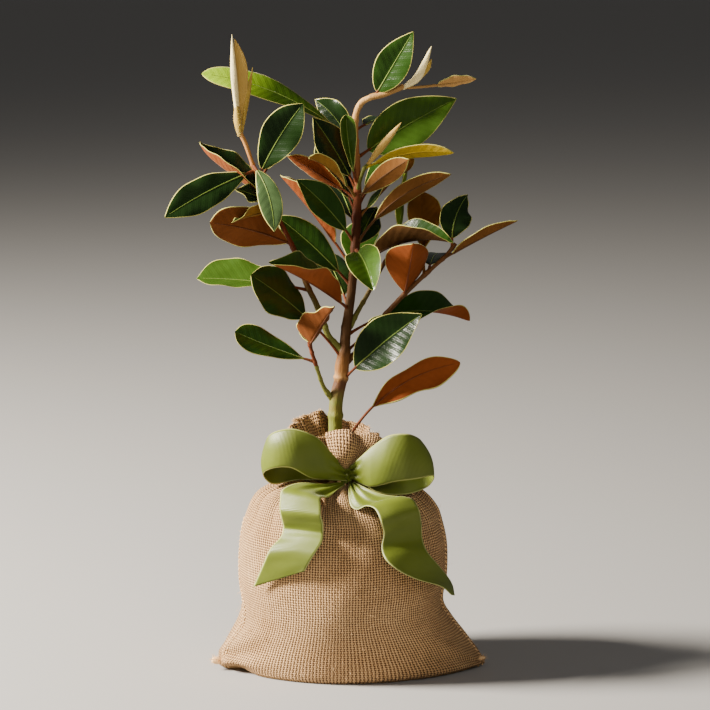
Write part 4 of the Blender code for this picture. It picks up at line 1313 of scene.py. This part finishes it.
def sack_mouth(cloth, thread, trees):
    """The gathered mouth with its two folded lobes, and the fringe along its rim."""
    outer, angle = mouth_surface()
    inward = -surface_normals(outer) * CLOTH_THICK
    inward[:, :, 2] = 0
    inner = (outer + inward)[::-1]
    rings = np.concatenate([outer, inner])
    up_it = 1.2 * lengths_along(rings[:, MOUTH_AROUND * 3 // 4])
    round_it = np.append(angle, 2 * math.pi) * MOUTH_GIRTH
    data = lofted("sack_mouth", rings, closed=True, places=cloth_places(round_it, up_it))
    last = (len(rings) - 1) * MOUTH_AROUND
    with editing(data) as mesh:
        mesh.verts.ensure_lookup_table()
        for i in range(MOUTH_AROUND):
            j = (i + 1) % MOUTH_AROUND
            corners = [mesh.verts[k] for k in (last + i, last + j, j, i)]
            mesh.faces.new(corners).smooth = True
    lobes = [folded_lobe(rows, place) for rows, place in ((LOBE_FRONT, 0.0), (LOBE_RIGHT, 50.0))]
    piece("sack_mouth", [turned_out(mesh) for mesh in (data, *lobes)], "jute", "sack_collar",
          finish=cloth)
    rim = lofted("rim", np.concatenate([outer[-2:], inner[:2]]), closed=True)
    frayed = hairs(trees, rim, thread, 700000.0, 0.0032, 0.00022, 1.0, 7)
    piece("sack_mouth_fringe", [frayed], "jute", "sack_collar")


# ---- ribbon
def bow_part(name, node, finish, edges, cup, pinched):
    """A loop or a tail between its two edges, in pleats where it is pinched."""
    rows = smooth_through(edges, RIBBON_ALONG)
    lefts, rights = rows[:, :3], rows[:, 3:]
    middles = (lefts + rights) / 2
    faces = units(np.cross(rights - lefts, np.gradient(middles, axis=0)))
    along = lengths_along(middles)
    down = np.linspace(0, 1, RIBBON_ALONG)
    gather = PINCH * np.clip(1 - down / pinched, 0, 1)
    if pinched < 0.2:
        gather += PINCH * np.clip(1 - (1 - down) / pinched, 0, 1)
    share = np.linspace(0, 1, RIBBON_ACROSS)
    pleat = np.sin(share * 2 * math.pi * 2.6 + 0.6)
    ends = np.clip(np.minimum(along, along[-1] - along) / 25, 0, 1)
    ripple = 0.6 * np.sin(along[:, None] / 9 + share * 2.2) * np.sin(along[:, None] / 23 + share * 3)
    rise = (cup * 4 * share * (1 - share) + ripple) * ends[:, None] + gather[:, None] * pleat
    points = (lefts[:, None] + (rights - lefts)[:, None] * share[None, :, None]
              + faces[:, None] * rise[:, :, None])
    data = lofted(name, points, places=cloth_places(share * RIBBON_WIDTH, along))
    piece(name, [thickened(data, RIBBON_CLOTH)], "ribbon", node, finish=finish)


def ribbon_knot(finish):
    """The pinched middle of the bow: deep creases that meet at its heart."""
    rings = []
    turns = np.arange(KNOT_AROUND) * 2 * math.pi / KNOT_AROUND
    for polar in np.linspace(0.10, math.pi - 0.10, KNOT_DEEP):
        crease = 1 - 0.42 * (1 - gathers(turns, 2.5)) * math.sin(polar)
        heart = 1 - 1.15 * math.exp(-((polar - 0.1) / 0.62) ** 2)
        rings.append(np.stack([
            KNOT_MIDDLE[0] + KNOT_SIZE[0] * math.sin(polar) * np.cos(turns) * crease,
            KNOT_MIDDLE[1] - KNOT_SIZE[1] * math.cos(polar) * heart * np.ones(KNOT_AROUND),
            KNOT_MIDDLE[2] + KNOT_SIZE[2] * math.sin(polar) * np.sin(turns) * crease], axis=1))
    places = cloth_places(np.linspace(8, 32, KNOT_AROUND + 1), np.linspace(0, 25, KNOT_DEEP))
    data = lofted("bow_knot", rings, capped=True, closed=True, places=places)
    piece("bow_knot", [turned_out(data)], "ribbon", "ribbon_knot", finish=finish)


def ribbon_band(finish):
    """The turns of ribbon drawn tight round the neck."""
    turns = np.arange(BAND_AROUND) * 2 * math.pi / BAND_AROUND
    rings = []
    profile = [(BAND_RADIUS - 0.4, BAND_BOTTOM), (BAND_RADIUS + 0.5, BAND_BOTTOM - 0.4)]
    profile += [(BAND_RADIUS + 1.0 + 0.5 * math.sin(k * 1.9), BAND_BOTTOM + 1 + k * 0.9)
                for k in range(11)]
    profile += [(BAND_RADIUS + 0.5, BAND_TOP + 0.4), (BAND_RADIUS - 0.4, BAND_TOP)]
    for radius, height in profile:
        sway = 0.35 * np.sin(6 * turns + height)
        rings.append(np.stack([NECK_X + (radius + sway) * np.cos(turns),
                               (radius + sway) * np.sin(turns), height + sway], axis=1))
    rings.append(rings[0])
    places = cloth_places(np.linspace(0, BAND_GIRTH, BAND_AROUND + 1),
                          np.linspace(5, 35, len(rings)))
    data = lofted("bow_band", rings, closed=True, places=places[:, :, ::-1])
    with editing(data) as mesh:
        bmesh.ops.remove_doubles(mesh, verts=mesh.verts, dist=1e-6)
    piece("bow_band", [turned_out(data)], "ribbon", "ribbon_band", finish=finish)


# ---- limbs
def limb_mesh(trees, limbs, finish, sides, relief, grain=400.0):
    """Limbs as one mesh, each given by its line and its girth."""
    lines, girths = zip(*limbs)
    return grown(trees["limb"], course(lines, girth=np.concatenate(girths) * MM), Bark=finish,
                 Sides=sides, Relief=relief, Grain=grain)


def limb_line(stations, count=None):
    rows = smooth_through(stations, count or 14 * len(stations))
    return rows[:, :3], rows[:, 3]


def from_trunk(height, heading, radius, stations):
    """Stations of a limb, from its foot in the trunk's side."""
    middle = point_on(TRUNK, height)
    way = np.array((math.cos(math.radians(heading)), math.sin(math.radians(heading)), 0))
    foot = middle[:3] + way * middle[3] * 0.6
    return [(*foot, radius * 1.15), *stations]


def ringed(line, girth, scars):
    """A limb's girth with the ring scars of old leaves added."""
    return girth + sum(stand * bell(line[:, 2] - height, width)
                       for height, (stand, width) in scars.items())


def trunk_and_boughs(trees, tones):
    """The stem and its boughs; gives back each bough's stations."""
    line, girth = limb_line(TRUNK, 220)
    line[0, 2] -= FOOT_SUNK
    girth = ringed(line, girth, SCARS)
    stem = limb_mesh(trees, [(line, girth)], tones["trunk bark"], 36, 0.0009, 330.0)
    piece("trunk_bark", [stem], "bark", "trunk")
    boughs = {}
    for name, habit in BOUGHS.items():
        boughs[name] = from_trunk(*habit)
        line, girth = limb_line(boughs[name])
        girth = ringed(line, girth, {height: (0.4, 1.4) for height in line[10::17, 2]})
        tone = tones["brown bough"] if name == "bough_right_low" else tones["green bough"]
        limb = limb_mesh(trees, [(line, girth)], tone, 20, 0.0006, 420.0)
        piece(name + "_bark", [limb], "bark", name)
    return boughs


# ---- leaves
def blade_share(share, widest):
    """Width of a blade along its length, as a share of its widest."""
    rise, fall = BLADE_FULLNESS * widest, BLADE_FULLNESS * (1 - widest)
    peak = widest ** rise * (1 - widest) ** fall
    return share ** rise * (1 - share) ** fall / peak


class Posture:
    """One leaf laid out in space by its habit, from its foot on a limb."""

    def __init__(self, habit, foot, start):
        self.habit = habit
        shares = np.linspace(0, 1, POSTURE_STEPS + 1)
        lift = np.radians(habit.lift + habit.arch * (0.5 - shares)
                          - habit.hook * shares ** 6)
        heading = math.radians(habit.heading)
        level = np.array((math.cos(heading), math.sin(heading), 0))
        ways = np.cos(lift)[:, None] * level + np.sin(lift)[:, None] * (0, 0, 1)
        moves = np.vstack([[0, 0, 0], ways[:-1]]) * habit.length / POSTURE_STEPS
        self.shares, self.ways = shares, ways
        self.points = np.asarray(foot, float) + level * start + np.cumsum(moves, axis=0)
        self.stalk = habit.stalk / habit.length    # the stalk's share of the whole

    def at(self, rows, share):
        return np.stack([np.interp(share, self.shares, rows[:, k]) for k in range(3)], axis=1)

    def frame(self, share):
        """Points, upward faces and left sides at shares of the whole length."""
        points, ways = self.at(self.points, share), units(self.at(self.ways, share))
        up = units(np.array((0, 0, 1)) - ways * ways[:, 2:])
        side = np.cross(ways, up)
        front = np.where(side[:, 1:2] <= 0, side, -side)
        blade = np.clip((share - self.stalk) / (1 - self.stalk), 0, 1)
        roll = np.radians(self.habit.roll + self.habit.twist * (blade - 0.5))[:, None]
        face = up * np.cos(roll) + front * np.sin(roll)
        return points, face, np.cross(face, ways)

    def blade(self):
        """The course of the blade, for its growth tree."""
        habit = self.habit
        blade = np.linspace(0.004, 0.996, BLADE_ROWS)
        points, face, left = self.frame(self.stalk + (1 - self.stalk) * blade)
        half = habit.width / 2 * blade_share(blade, habit.widest)
        to_tip = (1 - blade) * (habit.length - habit.stalk) * habit.point
        half = (half ** -4 + to_tip ** -4) ** -0.25
        opened = np.radians(np.clip(half / 5, 0, 1))
        near = habit.fold if habit.near is None else habit.near
        toward_front = -math.copysign(1, left[BLADE_ROWS // 2, 1])
        return course([points], face=face, left=left, half=half * MM, share=blade,
                      fold=opened * (habit.fold + near) / 2,
                      skew=opened * (near - habit.fold) / 2 * toward_front)

    def stalk_line(self):
        """The stalk, which carries on as the rib below the blade."""
        share = np.linspace(0, self.stalk + (1 - self.stalk) * 0.94, RIB_ROWS)
        points, face, _ = self.frame(share)
        blade = np.clip((share - self.stalk) / (1 - self.stalk), 0, 1)
        girth = np.interp(blade, [0, 0.02, 0.5, 1], [STALK_RADIUS, 1.1, 0.7, 0.25])
        girth[:3] *= (1.5, 1.25, 1.1)
        return points - face * (np.clip(blade * 20, 0, 1) * 0.6)[:, None], girth

    def rib_line(self):
        """The fine pale line of the rib on the blade's upper face."""
        share = self.stalk + (1 - self.stalk) * np.linspace(0.0, 0.93, RIB_ROWS)
        points, face, _ = self.frame(share)
        return points + face * 0.12, np.linspace(0.65, 0.2, RIB_ROWS)


def leaf_meshes(leaves, trees, tones):
    """Blades, stalks and ribs of some leaves, as plain meshes of each kind."""
    blades, stalks, ribs = [], {}, []
    # Fractions of the leaf's number make each margin wave and curl in its own way.
    for index, one in enumerate(leaves):
        habit = one.habit
        waviness = 0.022 * habit.width * habit.wave
        curl = 0.07 + 0.09 * ((index * 0.43) % 1.0) if habit.curl is None else habit.curl
        blades.append(grown(
            trees["blade"], one.blade(), Upper=tones[habit.upper], Under=tones[habit.under],
            Margin=tones["margin"], Length=(habit.length - habit.stalk) * MM,
            Wave_Height=waviness * MM, Wave_Start=(index * 0.37) % 1.0,
            Waves=2.0 + (index * 0.61) % 1.5, Vein_Pitch=VEIN_PITCH, Vein_Relief=0.00010,
            Margin_Curl=curl))
        stalks.setdefault(habit.under, []).append(one.stalk_line())
        ribs.append(one.rib_line())
    runs = [limb_mesh(trees, lines, tones[under + " stalk"], 8, 0.0002, 700.0)
            for under, lines in stalks.items()]
    return blades, [*runs, limb_mesh(trees, ribs, tones["rib"], 6, 0.0)]


def sprung(habits, limb, out=0.0):
    """Leaves borne by a limb, which start some of its radii out from its middle."""
    feet = [point_on(limb, habit.at) for habit in habits]
    return [Posture(habit, foot[:3], foot[3] * out) for habit, foot in zip(habits, feet)]


# ---- buds
def bud_mesh(base, middle, tip, radius, flatness, finish):
    """A long downy bud: a lens or a spindle with a ridge down its front."""
    rows = smooth_through([base, middle, tip], 40)
    shares = np.interp(np.linspace(0, 1, len(rows)), np.linspace(0, 1, len(BUD_PROFILE)),
                       BUD_PROFILE)
    along = units(np.gradient(rows, axis=0))
    turns = np.arange(28) * 2 * math.pi / 28
    rings = []
    for point, way, share in zip(rows, along, shares):
        side = unit(np.cross(way, (0, 1, 0)))
        back = unit(np.cross(way, side))
        seam = 1 + 0.06 * np.cos(3 * turns + point[2] / 9)
        rings.append(point + (radius * share * seam)[:, None]
                     * (np.outer(np.cos(turns), side) + flatness * np.outer(np.sin(turns), back)))
    data = turned_out(lofted("bud", rings, capped=True, closed=True))
    data.materials.append(finish)
    return data


# ---- the plant
def foliage(name, stations, trees, tones):
    """A leafy mass: its stem, leaves and buds."""
    habits = MASS_LEAVES[name]
    blades, runs = leaf_meshes(sprung(habits, stations), trees, tones)
    line, girth = limb_line(stations)
    line[0] -= 2.5 * unit(line[1] - line[0])    # its foot is sunk in the limb below
    girth = ringed(line, girth, {habit.at: (0.5, 1.6) for habit in habits})
    stem = limb_mesh(trees, [(line, girth)], tones[STEM_TONES[name]], 18, 0.0005, 420.0)
    piece(name + "_leaves", blades, "foliage", name)
    piece(name + "_stems", [stem, *runs], "foliage", name)
    buds = [bud_mesh(*bud[:5], tones[bud[5]]) for bud in BUDS.get(name, [])]
    if buds:
        down = [hairs(trees, bud, tones["bud"], 900000.0, 0.0011, 0.00006, 0.9, 11) for bud in buds]
        piece(name + "_buds", buds + down, "foliage", name)


def leaf_tones():
    """Every finish of the plant, by its tone."""
    tones = {name: leaf_face(name + " leaf", colour, TIP_TONES.get(name))
             for name, colour in UPPER_TONES.items()}
    for name, colour in UNDER_TONES.items():
        tones[name] = leaf_felt(name + " felt", colour)
        tones[name + " stalk"] = soft_skin(name + " stalk", tinted(colour, 0.85, 0.004), 0.6)
    for tone, (name, colour, roughness) in SKINS.items():
        tones[tone] = soft_skin(name, colour, roughness)
    for name, zones in BARKS.items():
        tones[name] = bark(name, zones)
    return tones


def plant(trees, tones):
    """The stem with its boughs, the masses of foliage, and the leaves borne singly."""
    boughs = trunk_and_boughs(trees, tones)
    for name, stations in STEMS.items():
        foliage(name, stations, trees, tones)
    foliage("side_shoot", from_trunk(*SHOOT), trees, tones)
    leaves = sprung(TRUNK_LEAVES.values(), TRUNK, 0.8)
    leaves += sprung(BOUGH_LEAVES.values(), boughs["bough_left"], 0.8)
    blades, runs = leaf_meshes(leaves, trees, tones)
    nodes = [*TRUNK_LEAVES, *BOUGH_LEAVES]
    piece("trunk_leaves", blades, "foliage", *nodes)
    piece("trunk_leaf_stalks", runs, "foliage", *nodes)


def wrapping(trees):
    """The jute sack that holds the root ball, and the ribbon tied round its neck."""
    cloth, thread, satin = jute_cloth(), jute_thread(), ribbon_satin()
    sack_body(cloth, thread, trees)
    corner_tufts(thread, trees)
    sack_mouth(cloth, thread, trees)
    ribbon_band(satin)
    ribbon_knot(satin)
    bow_part("bow_left", "bow_loop_left", satin, LOOP_LEFT, -3.0, 0.14)
    bow_part("bow_right", "bow_loop_right", satin, LOOP_RIGHT, 3.0, 0.14)
    bow_part("bow_tail_left", "ribbon_tail_left", satin, TAIL_LEFT, -1.2, 0.3)
    bow_part("bow_tail_right", "ribbon_tail_right", satin, TAIL_RIGHT, -1.2, 0.3)


def studio():
    """A plain pale floor and soft light from the upper left, in front."""
    data = bpy.data.meshes.new("floor")
    corners = [(-1, -1), (1, -1), (1, 1), (-1, 1)]
    data.from_pydata([(x * FLOOR_REACH, y * FLOOR_REACH, 0) for x, y in corners], [],
                     [(0, 1, 2, 3)])
    floor = placed("floor", data)
    pale = Finish("pale floor", FLOOR_GREY, 0.85)
    data.materials.append(pale.material)
    floor.visible_glossy = False
    world = bpy.data.worlds.new("studio")
    world.use_nodes = True
    sky = world.node_tree.nodes["Background"]
    sky.inputs["Color"].default_value = (*SKY_COLOUR, 1)
    sky.inputs["Strength"].default_value = SKY_STRENGTH
    bpy.context.scene.world = world
    for name, lamp in LAMPS.items():
        softbox(name, *lamp)


camera()
studio()
growth = {"limb": limb_growth(), "blade": blade_growth(), "bristle": bristle_growth(),
          "stitch": stitch_growth()}
plant(growth, leaf_tones())
wrapping(growth)
